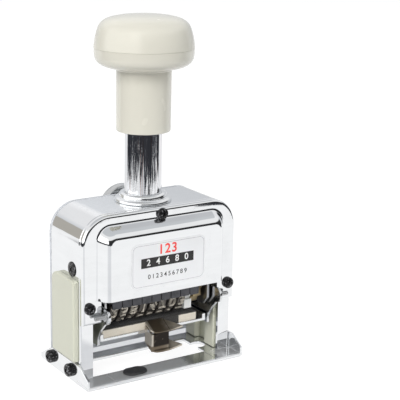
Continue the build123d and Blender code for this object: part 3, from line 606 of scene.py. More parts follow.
def keep(name, mesh, body, finish, replaces=(), crease=38):
    """Scales a finished mesh to metres, names its surface and puts it on its body."""
    mesh.transform(Matrix.Scale(MM, 4))
    mesh.name = name
    mesh.materials.clear()
    mesh.materials.append(FINISHES[finish])
    mesh.polygons.foreach_set("material_index", [0] * len(mesh.polygons))
    mesh.shade_smooth()
    mesh.set_sharp_from_angle(angle=math.radians(crease))
    obj = linked(name, mesh)
    modifier = obj.modifiers.new("normals", "WEIGHTED_NORMAL")
    modifier.keep_sharp = True
    flat = evaluated(obj)
    flat.name = name
    obj = linked(name, flat)
    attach(obj, body)
    if replaces:
        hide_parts(*replaces)
    return obj


def edged(node, width, body, finish):
    """Keeps a construction node's own form, with its edges rounded."""
    keep(node + "_edged", dressed(node, width), body, finish, (node,))


def wear(finish, *nodes):
    """Gives construction nodes that stay their surface."""
    for node in nodes:
        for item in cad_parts[node].material_slots:
            item.material = FINISHES[finish]


def arc(centre, radius, start, end, steps=ARC_STEPS):
    """Points on an arc, from one angle in degrees to the other."""
    turns = [math.radians(start + (end - start) * i / steps) for i in range(steps + 1)]
    return [(centre[0] + radius * math.cos(t), centre[1] + radius * math.sin(t)) for t in turns]


def arch(half, top, corner, bottom):
    """An open arch from its left foot to its right foot."""
    left = arc((corner - half, top - corner), corner, 180, 90)
    right = arc((half - corner, top - corner), corner, 90, 0)
    return [(-half, bottom), *left, *right, (half, bottom)]


def rounded_box(low, high, radius, steps=6):
    """A closed rectangle with rounded corners."""
    points = []
    for x, y, start in ((high[0] - radius, high[1] - radius, 0), (low[0] + radius, high[1] - radius, 90),
                        (low[0] + radius, low[1] + radius, 180), (high[0] - radius, low[1] + radius, 270)):
        points += arc((x, y), radius, start, start + 90, steps)
    return points


def circle(x, y, radius, steps):
    """A closed ring of points."""
    return arc((x, y), radius, 0, 360 - 360 / steps, steps - 1)


def smooth_path(points, steps=8):
    """A curve through points (Catmull-Rom), for turned profiles."""
    path = []
    padded = [points[0], *points, points[-1]]
    for a, b, c, d in zip(padded, padded[1:], padded[2:], padded[3:]):
        for i in range(steps):
            t = i / steps
            weights = (-0.5 * t + t * t - 0.5 * t ** 3, 1 - 2.5 * t * t + 1.5 * t ** 3,
                       0.5 * t + 2 * t * t - 1.5 * t ** 3, 0.5 * t ** 3 - 0.5 * t * t)
            path.append(tuple(sum(w * p[k] for w, p in zip(weights, (a, b, c, d))) for k in (0, 1)))
    return path + [points[-1]]


def skin(bm, rings, closed=False):
    """Quads between rows of points that have the same count."""
    rows = [[bm.verts.new(point) for point in ring] for ring in rings]
    for low, high in zip(rows, rows[1:]):
        count = len(low)
        for i in range(count if closed else count - 1):
            j = (i + 1) % count
            bm.faces.new((low[i], low[j], high[j], high[i]))
    return rows


def lathe(profile, y=0.0, steps=ROUND_STEPS, loop=False):
    """A turned piece about a vertical axis; a loop profile closes on itself."""
    bm = bmesh.new()
    rings = [[(r * math.cos(t), y + r * math.sin(t), z)
              for t in (2 * math.pi * i / steps for i in range(steps))] for r, z in profile]
    if loop:
        rings.append(rings[0])
    skin(bm, rings, closed=True)
    bmesh.ops.remove_doubles(bm, verts=bm.verts, dist=0.0005)
    bmesh.ops.dissolve_degenerate(bm, edges=bm.edges, dist=0.0004)
    return mesh_of(bm)


ALONG_X = Matrix(((0, 0, 1, 0), (1, 0, 0, 0), (0, 1, 0, 0), (0, 0, 0, 1)))
FACING_FRONT = Matrix.Rotation(math.radians(90), 4, "X")


def plate(outlines, low, high, rounding, turn=Matrix()):
    """A plate between two levels of its turned Z, with its holes and rounded edges."""
    curve = bpy.data.curves.new("outline", "CURVE")
    curve.dimensions = "2D"
    curve.fill_mode = "BOTH"
    curve.extrude = (high - low) / 2 - rounding
    curve.bevel_depth = rounding
    curve.bevel_resolution = 2
    curve.offset = -rounding
    for outline in outlines:
        spline = curve.splines.new("POLY")
        spline.points.add(len(outline) - 1)
        for point, (x, y) in zip(spline.points, outline):
            point.co = (x, y, 0, 1)
        spline.use_cyclic_u = True
    mesh = evaluated(linked("outline", curve))
    mesh.transform(turn @ Matrix.Translation((0, 0, (low + high) / 2)))
    return cleaned(mesh)


def brick(low, high):
    """A plain box, used as a cutter or for small blocks that are then rounded."""
    bm = bmesh.new()
    bmesh.ops.create_cube(bm, size=1)
    for vert in bm.verts:
        vert.co = [low[i] if vert.co[i] < 0 else high[i] for i in range(3)]
    return mesh_of(bm)


# ------------------------------------------------------------ geometry node trees
def start_tree(name, inputs):
    """An empty geometry tree with named inputs, and its input wires by name."""
    tree = bpy.data.node_groups.new(name, "GeometryNodeTree")
    tree.interface.new_socket("Geometry", in_out="OUTPUT", socket_type="NodeSocketGeometry")
    for label, kind in {"Geometry": "Geometry", **inputs, "Surface": "Material"}.items():
        tree.interface.new_socket(label, in_out="INPUT", socket_type="NodeSocket" + kind)
    given = tree.nodes.new("NodeGroupInput")
    return Wire(tree), {out.name: Wire(tree, out) for out in given.outputs if out.name}


def end_tree(work, geometry, surface):
    solid = work.node("GeometryNodeRealizeInstances", {}, {0: geometry})
    done = work.node("GeometryNodeSetMaterial", {}, {"Geometry": solid, "Material": surface})
    work.node("NodeGroupOutput", {}, {"Geometry": done})
    return work.tree


def grown(mesh, tree, values):
    """Runs a tree over a mesh with its inputs set, and returns a plain mesh."""
    obj = linked("grown", mesh)
    modifier = obj.modifiers.new("nodes", "NODES")
    modifier.node_group = tree
    for item in tree.interface.items_tree:
        if item.in_out == "INPUT" and item.name in values:
            modifier[item.identifier] = values[item.name]
    obj.update_tag()
    return cleaned(evaluated(obj))


def scattered_tree():
    """Sets one form on every point, along the point's own direction, turned at random."""
    work, given = start_tree("form_on_points", {
        "Form": "Object", "Radius": "Float", "Height": "Float", "Seed": "Int"})
    form = work.node("GeometryNodeObjectInfo", {"transform_space": "ORIGINAL"},
                     {"Object": given["Form"], "As Instance": True}, "Geometry")
    aim = work.node("GeometryNodeInputNamedAttribute", {"data_type": "FLOAT_VECTOR"}, {"Name": "aim"})
    spin = work.node("FunctionNodeRandomValue", {"data_type": "FLOAT"},
                     {2: 0.0, 3: math.pi / 2, "Seed": given["Seed"]}, 1)
    own = work.node("ShaderNodeCombineXYZ", {}, {2: spin})
    own = work.node("FunctionNodeEulerToRotation", {}, {0: own})
    facing = work.node("FunctionNodeAlignRotationToVector", {"axis": "Z"}, {"Vector": aim})
    facing = work.node("FunctionNodeRotateRotation", {"rotation_space": "LOCAL"},
                       {"Rotation": facing, "Rotate By": own})
    size = work.node("ShaderNodeCombineXYZ", {}, {0: given["Radius"], 1: given["Radius"], 2: given["Height"]})
    placed = work.node("GeometryNodeInstanceOnPoints", {}, {
        "Points": given["Geometry"], "Instance": form, "Rotation": facing, "Scale": size})
    return end_tree(work, placed, given["Surface"])


def coil_tree():
    """A round wire wound up a helix."""
    work, given = start_tree("coil", {
        "Turns": "Float", "Radius": "Float", "Wire": "Float", "Height": "Float"})
    path = work.node("GeometryNodeCurveSpiral", {}, {
        "Resolution": 28, "Rotations": given["Turns"], "Start Radius": given["Radius"],
        "End Radius": given["Radius"], "Height": given["Height"]})
    wire = work.node("GeometryNodeCurvePrimitiveCircle", {"mode": "RADIUS"},
                     {"Resolution": 10, "Radius": given["Wire"]})
    swept = work.node("GeometryNodeCurveToMesh", {}, {0: path, 1: wire, "Fill Caps": True})
    return end_tree(work, swept, given["Surface"])


def figures_tree(order, first):
    """Raised figures round a wheel in the given order, bent to its rim and sunk into it."""
    work, given = start_tree("figures_" + order + str(first), {
        "Size": "Float", "Rim": "Float", "Relief": "Float", "Middle": "Vector"})
    sunk = 0.25
    middle_x, middle_y, middle_z = given["Middle"].axes()
    merged = work.node("GeometryNodeJoinGeometry")
    for place in range(first, 10):
        text = work.node("GeometryNodeStringToCurves", {"align_x": "CENTER", "align_y": "MIDDLE"},
                         {"String": order[place], "Size": given["Size"]})
        text = work.node("GeometryNodeRealizeInstances", {}, {0: text})
        # four shifted copies overlap, which makes the strokes bold
        strokes = work.node("GeometryNodeJoinGeometry")
        for across, along in ((-0.2, -0.1), (-0.2, 0.1), (0.2, -0.1), (0.2, 0.1)):
            stroke = work.node("GeometryNodeTransform", {}, {
                "Geometry": text, "Translation": (across, along, 0.0)})
            work.tree.links.new(stroke.socket, strokes.socket.node.inputs[0])
        face = work.node("GeometryNodeFillCurve", {"mode": "NGONS"}, {0: strokes, "Group ID": 0})
        raised = work.node("GeometryNodeExtrudeMesh", {"mode": "FACES"}, {
            "Mesh": face, "Offset": (0, 0, 1), "Offset Scale": given["Relief"] + sunk, "Individual": False})
        back = work.node("GeometryNodeFlipFaces", {}, {0: face})
        solid = work.node("GeometryNodeJoinGeometry")
        for part in (raised, back):
            work.tree.links.new(part.socket, solid.socket.node.inputs[0])
        spot = work.node("GeometryNodeInputPosition")
        x, up, out = spot.axes()
        turn = math.radians(36 * place) - up / given["Rim"]
        reach = given["Rim"] - sunk + out
        bent = work.node("ShaderNodeCombineXYZ", {}, {
            0: middle_x + x,
            1: middle_y - reach * work.math("SINE", turn),
            2: middle_z - reach * work.math("COSINE", turn)})
        solid = work.node("GeometryNodeSetPosition", {}, {"Geometry": solid, "Position": bent})
        work.tree.links.new(solid.socket, merged.socket.node.inputs[0])
    return end_tree(work, merged, given["Surface"])


def row_tree():
    """Copies of the incoming mesh in a straight row along X."""
    work, given = start_tree("row", {"Count": "Int", "Spacing": "Float"})
    step = work.node("ShaderNodeCombineXYZ", {}, {0: given["Spacing"]})
    points = work.node("GeometryNodeMeshLine", {"mode": "OFFSET"}, {"Count": given["Count"], "Offset": step})
    placed = work.node("GeometryNodeInstanceOnPoints", {}, {"Points": points, "Instance": given["Geometry"]})
    return end_tree(work, placed, given["Surface"])


def screw_form():
    """A domed head of radius 1 and height 1 with a tapered cross recess."""
    flank = [(0.0, -0.02), (0.94, -0.02), (1.0, 0.04), (1.0, 0.42)]
    crown = arc((0.62, 0.42), 0.38, 0, 62, 6)
    dome = [(0.5, 0.93), (0.3, 0.98), (0.0, 1.0)]
    crown = [(r, 0.42 + (z - 0.42) * 1.22) for r, z in crown]
    head = lathe(flank + crown[1:] + dome, steps=40)
    for turn in (0, 90):
        slot = brick((-0.62, -0.16, 0.42), (0.62, 0.16, 1.4))
        bm = bmesh.new()
        bm.from_mesh(slot)
        for vert in bm.verts:
            if vert.co.z < 1:
                vert.co.x *= 0.45
                vert.co.y *= 0.6
        bmesh.ops.rotate(bm, matrix=Matrix.Rotation(math.radians(turn), 3, "Z"), verts=bm.verts)
        head = cut(head, mesh_of(bm))
    return head


def screws(node, places, radius, height, body, slot, finish, seed):
    """Cross-recess screws with their heads seated at the places, along their directions."""
    points = bpy.data.meshes.new("places")
    points.from_pydata([place for place, aim in places], [], [])
    aims = points.attributes.new("aim", "FLOAT_VECTOR", "POINT")
    aims.data.foreach_set("vector", [part for place, aim in places for part in aim])
    form = linked("screw_form", screw_form())
    mesh = grown(points, scattered_tree(), {
        "Form": form, "Radius": radius, "Height": height, "Seed": seed, "Surface": FINISHES[finish]})
    bpy.data.objects.remove(form)
    keep(node + "_domed", mesh, body, finish, (node,))


# ------------------------------------------------------------ the pieces
def build_knob(settings):
    """The knob's lower half with its neck, and the domed cap above the parting line."""
    neck = [(8.1, NECK_LOW + 7.2), (7.35, NECK_LOW + 7.0), (7.35, NECK_LOW + 0.35), (7.55, NECK_LOW + 0.06),
            (7.8, NECK_LOW)]
    lip = [(9.7, NECK_LOW), (9.95, NECK_LOW + 0.1), (10.05, NECK_LOW + 0.3), (10.1, NECK_LOW + 0.7)]
    under = [(10.2, 111.95), (10.45, 112.25)] + smooth_path([
        (11.2, 112.5), (13.2, 112.95), (15.5, 113.7), (17.2, 114.9), (18.0, 116.3), (18.28, 117.9),
        (18.34, PARTING_Z - 0.35)])
    seam = PARTING_Z - 0.02
    rim = [(18.36, PARTING_Z - 0.1), (18.30, seam), (16.0, seam), (8.1, seam)]

    ridge_r = 18.38 + settings.ridge * 0.6
    edge = [(15.9, PARTING_Z), (18.30, PARTING_Z), (ridge_r, PARTING_Z + 0.04),
            (ridge_r, PARTING_Z + 0.30), (18.40, PARTING_Z + 0.42)]
    crown = smooth_path([(18.40, PARTING_Z + 0.8), (18.2, 122.2), (17.7, 124.7), (16.85, 127.4),
                         (15.6, 129.2), (13.2, 130.6), (9.0, 131.5), (4.0, 131.92), (0.0, CAP_HIGH.z)])
    inner = [(0.0, 129.2), (13.0, 128.2), (15.6, 124.4)]
    for node, profile in (("knob_body", neck + lip + [(10.15, 105.0)] + under + rim),
                          ("knob_cap", edge + crown + inner)):
        shell = lathe(profile, TUBE_Y, 160, loop=True)
        keep(node + "_shell", shell, "plunger", "knob", (node,), 30)
    wear("steel", "knob_nut", "plunger_rod", "spring_seat")


def build_tube():
    """The polished guide tube, its stepped collar and what holds it inside."""
    chamfer = 0.25
    low, high = TUBE_LOW.z, TUBE_HIGH.z
    tube = [(TUBE_BORE_R, low), (TUBE_R - chamfer, low), (TUBE_R, low + chamfer), (TUBE_R, high - chamfer),
            (TUBE_R - chamfer, high), (TUBE_BORE_R, high)]
    keep("guide_tube_polished", lathe(tube, y=TUBE_Y, loop=True), "case", "tube",
         ("guide_tube",))
    seat = COLLAR_LOW.z
    flange = smooth_path([(COLLAR_R - 0.35, seat), (COLLAR_R, seat + 0.25), (COLLAR_R, seat + 0.8),
                          (COLLAR_R - 0.3, seat + 1.2), (COLLAR_R - 0.8, seat + 1.45), (9.3, seat + 1.55)], 4)
    step = smooth_path([(9.05, seat + 1.62), (8.98, seat + 1.75), (8.95, seat + 2.3), (8.7, seat + 2.85),
                        (8.2, seat + 3.2), (7.7, seat + 3.3)], 4)
    ring = [(TUBE_R, seat)] + flange + step + [(7.35, seat + 3.3), (TUBE_R, seat + 3.05)]
    keep("tube_collar_turned", lathe(ring, y=TUBE_Y, steps=128, loop=True), "case", "chrome",
         ("tube_collar",), 50)
    wear("steel", "tube_nut")
    wear("brass", "tube_bush")


def build_band():
    """The arched band of the case: a channel section bent along the arch."""
    bend = BAND_BEND
    y0, y1 = BAND_LOW.y, BAND_HIGH.y
    front = [(inset, y) for y, inset in arc((y0 + bend, bend), bend, 180, 270, 5)]
    rear = [(inset, y) for y, inset in arc((y1 - bend, bend), bend, 270, 360, 5)]
    section = [*front, *rear, (FLANGE_WIDTH, y1), (FLANGE_WIDTH, y1 - FLANGE_THICK),
               (BAND_WALL, y1 - FLANGE_THICK), (BAND_WALL, y0 + FLANGE_THICK),
               (FLANGE_WIDTH, y0 + FLANGE_THICK), (FLANGE_WIDTH, y0)]
    bm = bmesh.new()
    rings = [[(x, y, z) for x, z in arch(CASE_HALF - inset, CASE_TOP - inset, CASE_CORNER - inset, CASE_FOOT)]
             for inset, y in section]
    skin(bm, rings + [rings[0]])
    bmesh.ops.remove_doubles(bm, verts=bm.verts, dist=0.0005)
    feet = [edge for edge in bm.edges if edge.is_boundary]
    bmesh.ops.edgeloop_fill(bm, edges=feet)
    band = mesh_of(bm)
    hole_r, below, above = TUBE_R + 0.02, CASE_TOP - 4, CASE_TOP + 2
    hole = lathe([(0, below), (hole_r, below), (hole_r, above), (0, above)], TUBE_Y)
    (y0, y1), (z0, z1) = SIDE_WINDOW_Y, SIDE_WINDOW_Z
    windows = [brick((side * CASE_HALF - 3, y0, z0), (side * CASE_HALF + 3, y1, z1)) for side in (-1, 1)]
    band = cut(band, hole, *windows)
    keep("case_band_shell", band, "case", "chrome", ("case_band",), 40)


def build_front_cover():
    """The front plate with its rolled rim, the bevelled panel and the hood over the mouth."""
    foot = COVER_LOW.z
    back, face, panel = BAND_LOW.y, COVER_FACE, COVER_LOW.y
    roll = COVER_ROLL

    def ring(half, top, corner, bottom, y):
        return [(x, y, z) for x, z in arch(half, top, corner, bottom)]

    outer = []
    for y, inset in [(back, 0.0), *arc((face + roll, roll), roll, 270, 180, 5)]:
        outer.append(ring(CASE_HALF - inset, CASE_TOP - inset, CASE_CORNER - inset, foot + inset, y))

    # the panel's flank from its root to its flat face, in shares of the way in and up
    flank = [(-0.20, 0.0), (-0.06, 0.012), (0.02, 0.05), (0.09, 0.13), (0.28, 0.42), (0.42, 0.60),
             (0.56, 0.74), (0.70, 0.85), (0.84, 0.93), (0.95, 0.975), (1.04, 0.997), (1.10, 1.0)]
    inner = []
    for way, rise in flank:
        half, top, corner = (a + (b - a) * way for a, b in zip(PANEL_ROOT, PANEL_TOP))
        inner.append(ring(half, top, corner, PANEL_FOOT, face + (panel - face) * rise))

    bm = bmesh.new()
    rows = skin(bm, outer + inner)
    bm.faces.new(rows[-1])
    rolled = len(outer)
    for end, side in ((0, -1), (-1, 1)):
        tips = [bm.verts.new((side * MOUTH_HALF, ring_[0][1], ring_[0][2])) for ring_ in outer]
        for k in range(rolled - 1):
            bm.faces.new((rows[k][end], tips[k], tips[k + 1], rows[k + 1][end]))
        corner = bm.verts.new((side * MOUTH_HALF, face, PANEL_FOOT))
        bm.faces.new((rows[rolled - 1][end], tips[-1], corner, rows[rolled][end]))
    bmesh.ops.recalc_face_normals(bm, faces=bm.faces)
    biggest = max(bm.faces, key=lambda f: f.calc_area())
    if biggest.normal.y > 0:
        bmesh.ops.reverse_faces(bm, faces=bm.faces)
    cover = mesh_of(bm, outward=False)
    cover = with_modifier(cover, "SOLIDIFY", {"thickness": SHELL_WALL, "offset": -1.0,
                                              "use_even_offset": True})
    cover = rounded(cover, 0.16, 2, 50)
    keep("front_cover_shell", cover, "case", "chrome", ("front_cover",), 40)


def build_rear_cover():
    """The flat satin back plate, with the lock button's hole."""
    outline = arch(CASE_HALF, CASE_TOP, CASE_CORNER, REAR_LOW.z)
    hole = circle(LOCK_X, LOCK_Z, LOCK_HOLE_R, 32)
    cover = plate([outline, hole], -REAR_HIGH.y, -REAR_LOW.y, 0.45, FACING_FRONT)
    keep("rear_cover_plate", cover, "case", "satin", ("rear_cover",), 40)


def on_side(side, near, far):
    """Two distances from the middle as a lower and a higher X on the left (-1) or the right (1)."""
    return sorted((side * near, side * far))


def build_base():
    """The base sheet with its window and sight notches, and its turned-up sides."""
    half, depth = BASE_HIGH.x, BASE_HIGH.y
    rim = rounded_box((-half, -depth), (half, depth), BASE_CORNER)
    window = []
    for edge, middle, facing, depths in ((WINDOW_RIGHT, NOTCH_RIGHT, 0, WINDOW_Y),
                                         (WINDOW_LEFT, NOTCH_LEFT, 180, WINDOW_Y[::-1])):
        reach = math.degrees(math.acos(-abs(edge - middle) / NOTCH_R))
        notch = arc((middle, WHEEL_Y), NOTCH_R, facing - reach, facing + reach, 14)
        window += [(edge, depths[0]), *notch, (edge, depths[1])]
    sheet = plate([rim, window], 0, SHEET, 0.4)
    side_outline = [(-depth, 0.4), (-depth, 3.9), (-12.7, SIDE_TOP), (9.3, SIDE_TOP), (depth, 2.3),
                    (depth, 0.4)]
    for side in (-1, 1):
        low, high = on_side(side, half - SIDE_SHEET, half)
        sheet = cut(sheet, plate([side_outline], low, high, 0.35, ALONG_X), operation="UNION")
    for side in (-1, 1):
        x = side * SEAM_X
        sheet = cut(sheet, brick((x - SEAM_WIDTH / 2, -depth - 1, SHEET - SEAM_DEPTH),
                                 (x + SEAM_WIDTH / 2, WINDOW_Y[0] - 1, SHEET + 1)))
    keep("base_plate_sheet", sheet, "case", "chrome", ("base_plate",), 40)

    low, high = span("sight_pad")
    middle = (low + high) / 2
    reach_x, reach_y = (high - low).x / 2, (high - low).y / 2
    oval = arc((middle.x + reach_x - reach_y, middle.y), reach_y, -90, 90, 16)
    oval += arc((middle.x - reach_x + reach_y, middle.y), reach_y, 90, 270, 16)
    pad = plate([oval], low.z, high.z, 0.38)
    keep("sight_pad_moulding", pad, "case", "rubber", ("sight_pad",), 60)


def build_guides():
    """The moulded guides: channelled blocks, the left one with a rounded pad outside."""
    (y0, y1), (z0, z1) = GUIDE_PAD_Y, GUIDE_PAD_Z
    outline = [(y0, z0), (y1, z0)]
    outline += arc((y1 - PAD_REAR_CORNER, z1 - PAD_REAR_CORNER), PAD_REAR_CORNER, 0, 90, 10)
    outline += arc((y0 + PAD_FRONT_CORNER, z1 - PAD_FRONT_CORNER), PAD_FRONT_CORNER, 90, 180, 10)
    pads = {"left": [plate([outline], PAD_LOW.x, -CASE_HALF + 0.2, 0.55, ALONG_X)], "right": []}
    wall = CASE_HALF - BAND_WALL
    front, back = GUIDE_Y
    section = [(front, GUIDE_FOOT), (back, GUIDE_FOOT), (back, GUIDE_HEAD), (front, GUIDE_HEAD)]
    for name, side in (("left", -1), ("right", 1)):
        block = plate([section], *on_side(side, GUIDE_IN, wall), 0.4, ALONG_X)
        low, high = on_side(side, GUIDE_IN - 1.0, CHANNEL_FLOOR)
        block = cut(block, brick((low, CHANNEL_Y[0], 0), (high, CHANNEL_Y[1], 60)))
        low, high = on_side(side, wall - 0.2, CASE_HALF)
        neck = brick((low, SIDE_WINDOW_Y[0], SIDE_WINDOW_Z[0]), (high, SIDE_WINDOW_Y[1], SIDE_WINDOW_Z[1]))
        keep(f"guide_{name}_moulding", together(*pads[name], block, neck), "case", "guide",
             (f"guide_{name}",))


def build_label(settings):
    """The label plate with a plain-number design: red figures, a black bar and a small row."""
    def inset(by):
        return rounded_box((LABEL_LOW.x + by, LABEL_LOW.z + by), (LABEL_HIGH.x - by, LABEL_HIGH.z - by),
                           2.6 - by, 10)

    face, middle, bar_ink = LABEL_LOW.y + 0.03, LABEL_Z, 0.01
    keep("name_label_plate", plate([inset(0)], -LABEL_HIGH.y, -face, 0.06, FACING_FRONT), "case",
         "label", ("name_label",))
    keep("label_frame", plate([inset(0.55), inset(0.70)], -face - 0.01, -face + 0.01, 0.002, FACING_FRONT),
         "case", "grey")

    def figures(name, text, size, z, spacing, weight, lift, finish):
        curve = bpy.data.curves.new(name, "FONT")
        curve.body, curve.size, curve.space_character = text, size, spacing
        curve.align_x = curve.align_y = "CENTER"
        curve.extrude, curve.offset = 0.01, weight
        mesh = evaluated(linked(name, curve))
        mesh.transform(Matrix.Translation((0, face - lift, z)) @ FACING_FRONT)
        keep(name, cleaned(mesh), "case", finish)

    half, tall, bar_z = settings.bar_width / 2, 3.7, middle + 1.0
    bar = rounded_box((-half, bar_z - tall / 2), (half, bar_z + tall / 2), 0.15, 3)
    keep("label_bar", plate([bar], -face - 0.01, -face + 0.01, 0.002, FACING_FRONT), "case",
         "black")
    figures("label_red_figures", settings.red_figures, 5.0, middle + 5.3, 1.15, 0.10, 0.0, "red")
    figures("label_bar_figures", settings.bar_figures, 3.4, bar_z, 2.4, 0.06, bar_ink, "white")
    figures("label_small_figures", settings.small_figures, 2.4, middle - 4.4, 1.45, 0.03, 0.0, "black")


def build_wheels(settings):
    """Eight number wheels: lands with gaps, a ratchet beside them and raised figures."""
    gap = math.degrees(LAND_HALF_GAP / LAND_R)
    orders = "0123456789"
    for index in range(WHEEL_COUNT):
        x = FIRST_WHEEL_X + WHEEL_PITCH * index
        outline = []
        for place in range(10):
            middle = 36 * place - 90
            outline += arc((WHEEL_Y, WHEEL_Z), LAND_R, middle - 18 + gap, middle + 18 - gap, 7)
            outline += arc((WHEEL_Y, WHEEL_Z), GROUND_R, middle + 18 - gap, middle + 18 + gap, 2)
        bore = circle(WHEEL_Y, WHEEL_Z, SHAFT_HOLE_R, 24)
        rim = plate([outline, bore], x + RIM_LOW, x + RIM_HIGH, 0.14, ALONG_X)
        teeth = []
        for tooth in range(10):
            start = 36 * tooth
            for angle, radius in ((start, TOOTH_TIP_R), (start + TOOTH_BACK_ANGLE, TOOTH_ROOT_R)):
                turn = math.radians(angle)
                teeth.append((WHEEL_Y + radius * math.cos(turn), WHEEL_Z + radius * math.sin(turn)))
        ratchet = plate([teeth, bore], x + RIM_HIGH - 0.02, x + RATCHET_HIGH, 0.05, ALONG_X)
        shift = (index * 3) % 10
        order = orders[shift:] + orders[:shift]
        first = 1 if index < BLANK_WHEELS else 0
        empty = bpy.data.meshes.new("empty")
        raised = grown(empty, figures_tree(order, first), {
            "Size": settings.digit_height * 1.36, "Rim": LAND_R, "Relief": DIGIT_R - LAND_R - 0.02,
            "Middle": (x + (RIM_LOW + RIM_HIGH) / 2, WHEEL_Y, WHEEL_Z), "Surface": FINISHES["wheel"]})
        keep(f"number_wheel_{index + 1}_figured", together(rim, ratchet, raised), f"wheel_{index + 1}",
             "wheel", (f"number_wheel_{index + 1}",), 30)


def build_detents():
    """A row of flat spring-steel detents on their bar."""
    low, high = span("detent_pawls")
    bar_low, bar_high = span("detent_bar")
    bar_y, bar_z = (bar_low.y + bar_high.y) / 2, (bar_low.z + bar_high.z) / 2
    count, width = WHEEL_COUNT + 1, 3.9
    x0, x1 = low.x, low.x + width
    leaf = plate([rounded_box((x0, low.z), (x1, bar_z), 0.35, 4)], -low.y - 0.8, -low.y, 0.12, FACING_FRONT)
    hub = plate([circle(bar_y, bar_z, 2.0, 28), circle(bar_y, bar_z, 1.05, 20)], x0, x1, 0.15, ALONG_X)
    spacing = (high.x - low.x - width) / (count - 1)
    row = grown(together(leaf, hub), row_tree(), {
        "Count": count, "Spacing": spacing, "Surface": FINISHES["spring"]})
    keep("detent_pawls_leaves", row, "detents", "spring", ("detent_pawls",))
    wear("steel", "detent_bar")


def build_carriage():
    """The pieces of the carriage that show through the mouth, and those behind them."""
    edged("end_spacer", 0.25, "plunger", "nylon")
    for side in ("left", "right"):
        edged("carriage_cheek_" + side, 0.15, "plunger", "steel")
    edged("carriage_bridge", 0.2, "plunger", "steel")
    for side in ("left", "right"):
        edged("slide_shoe_" + side, 0.2, "plunger", "steel")
    edged("drive_ratchet", 0.12, "feed_drive", "brass")
    wear("steel", "rod_nut", "pivot_pins", "wheel_shaft", "shaft_clips", "cheek_studs", "drive_yoke")
    wear("spring", "feed_fingers")


def build_ink_frame():
    """The swinging arms with their lobes and studs."""
    edged("ink_frame", 0.14, "ink_arms", "arm")
    edged("frame_studs", 0.12, "ink_arms", "steel")


def build_tray():
    """The bright ink tray and its felt pad."""
    edged("ink_tray", 0.16, "ink_cartridge", "tray")
    low, high = FELT_LOW, FELT_HIGH
    felt = rounded(brick(low, high), 0.35, 3)
    felt = with_modifier(felt, "REMESH", {"mode": "VOXEL", "voxel_size": 0.32})
    fine, broad, drawn_in = 0.05, 0.06, 0.08
    for vert in felt.vertices:
        point = vert.co
        nap = noise.noise(point * 2.2) * fine + noise.noise(point * 0.5) * broad
        vert.co = point + vert.normal * (nap - drawn_in)
        vert.co = [min(max(vert.co[i], low[i]), high[i]) for i in range(3)]
    pad = keep("ink_felt_pad", felt, "ink_cartridge", "felt", ("ink_felt",), 180)


def build_clip():
    """The finger clip that releases the tray."""
    edged("clip_lower", 0.12, "ink_cartridge", "clip")
    edged("clip_upper", 0.12, "clip_leaf", "clip")
    wear("steel", "clip_pin")


def build_springs():
    """The return spring and the lock button's small spring, which close up as they are pressed."""
    upward, backward = Vector((0, 0, 1)), Vector((0, 1, 0))
    for node, way, turns, wire, joint, pressed in (
            ("return_spring", upward, 12.0, 0.45, "plunger_slide", 0.46),
            ("lock_spring", backward, 3.0, 0.25, "lock_push", 0.27)):
        low, high = span(node)
        size = high - low
        length = size.dot(way)
        fixed_end = (low + high - way * length) / 2
        mesh = grown(bpy.data.meshes.new("empty"), coil_tree(), {
            "Turns": turns, "Radius": size.x / 2 - wire, "Wire": wire, "Height": length - 2 * wire,
            "Surface": FINISHES["wire"]})
        turn = upward.rotation_difference(way).to_matrix().to_4x4()
        mesh.transform(Matrix.Translation(fixed_end + way * wire) @ turn)
        coil = keep(node + "_coil", mesh, "case", "wire", (node,))
        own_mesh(coil)


def build_rear():
    """The repeat dial, its post and pointer, and the lock button."""
    x, z = (DIAL_LOW.x + DIAL_HIGH.x) / 2, (DIAL_LOW.z + DIAL_HIGH.z) / 2
    radius = (DIAL_HIGH.x - DIAL_LOW.x) / 2
    outline, bore = circle(x, z, radius, 96), circle(x, z, SHAFT_HOLE_R, 24)
    face, front = -DIAL_HIGH.y, REAR_HIGH.y + 0.8
    disc = plate([outline, circle(x, z, 5.2, 40)], face, face + 0.9, 0.3, FACING_FRONT)
    body = plate([outline, bore], face + 0.7, -front, 0.3, FACING_FRONT)
    hub = plate([circle(x, z, 4.5, 36), bore], -front - 0.1, -REAR_HIGH.y - 0.1, 0.1, FACING_FRONT)
    keep("repeat_dial_turned", together(disc, body, hub), "dial", "dial", ("repeat_dial",))
    edged("lock_button", 0.2, "lock", "dial")
    edged("lock_bush", 0.12, "case", "steel")
    wear("steel", "dial_post")
    wear("screw", "dial_pointer")


def build_screws(settings):
    """All the cross-recess screws: the radius, the height, the places and the directions of their heads."""
    edge_x, seat = 30.2, span("bridge_screws")[1].z - 1.0
    cover = [((x, COVER_FACE, z), (0, -1, 0)) for x, z in ((0, 60.9), (-edge_x, 29.3), (edge_x, 29.3))]
    rear = [((x, REAR_HIGH.y, z), (0, 1, 0)) for x in (-edge_x, edge_x) for z in (12.0, 44.0)]
    base = [((side * BASE_HIGH.x, y, 4.1), (side, 0, 0)) for side in (-1, 1) for y in (-5.7, 9.4)]
    guide = [((side * CASE_HALF, -5.3, 42.6), (side, 0, 0)) for side in (-1, 1)]
    bridge = [((x, y, seat), (0, 0, 1)) for x in (-22.5, 22.5) for y in (-7.2, 2.6)]
    black, bright = ("case", "black_screw", "screw"), ("plunger", "steel", "steel")
    for count, (kind, places, radius, height, worn_by) in enumerate((
            ("cover", cover, 2.15, 1.6, black), ("rear", rear, 2.15, 1.6, black),
            ("base", base, 2.45, 2.2, black), ("guide", guide, 2.8, 0.5, black),
            ("bridge", bridge, 1.6, 1.0, bright))):
        screws(kind + "_screws", places, radius, height, *worn_by, settings.screw_seed + count)


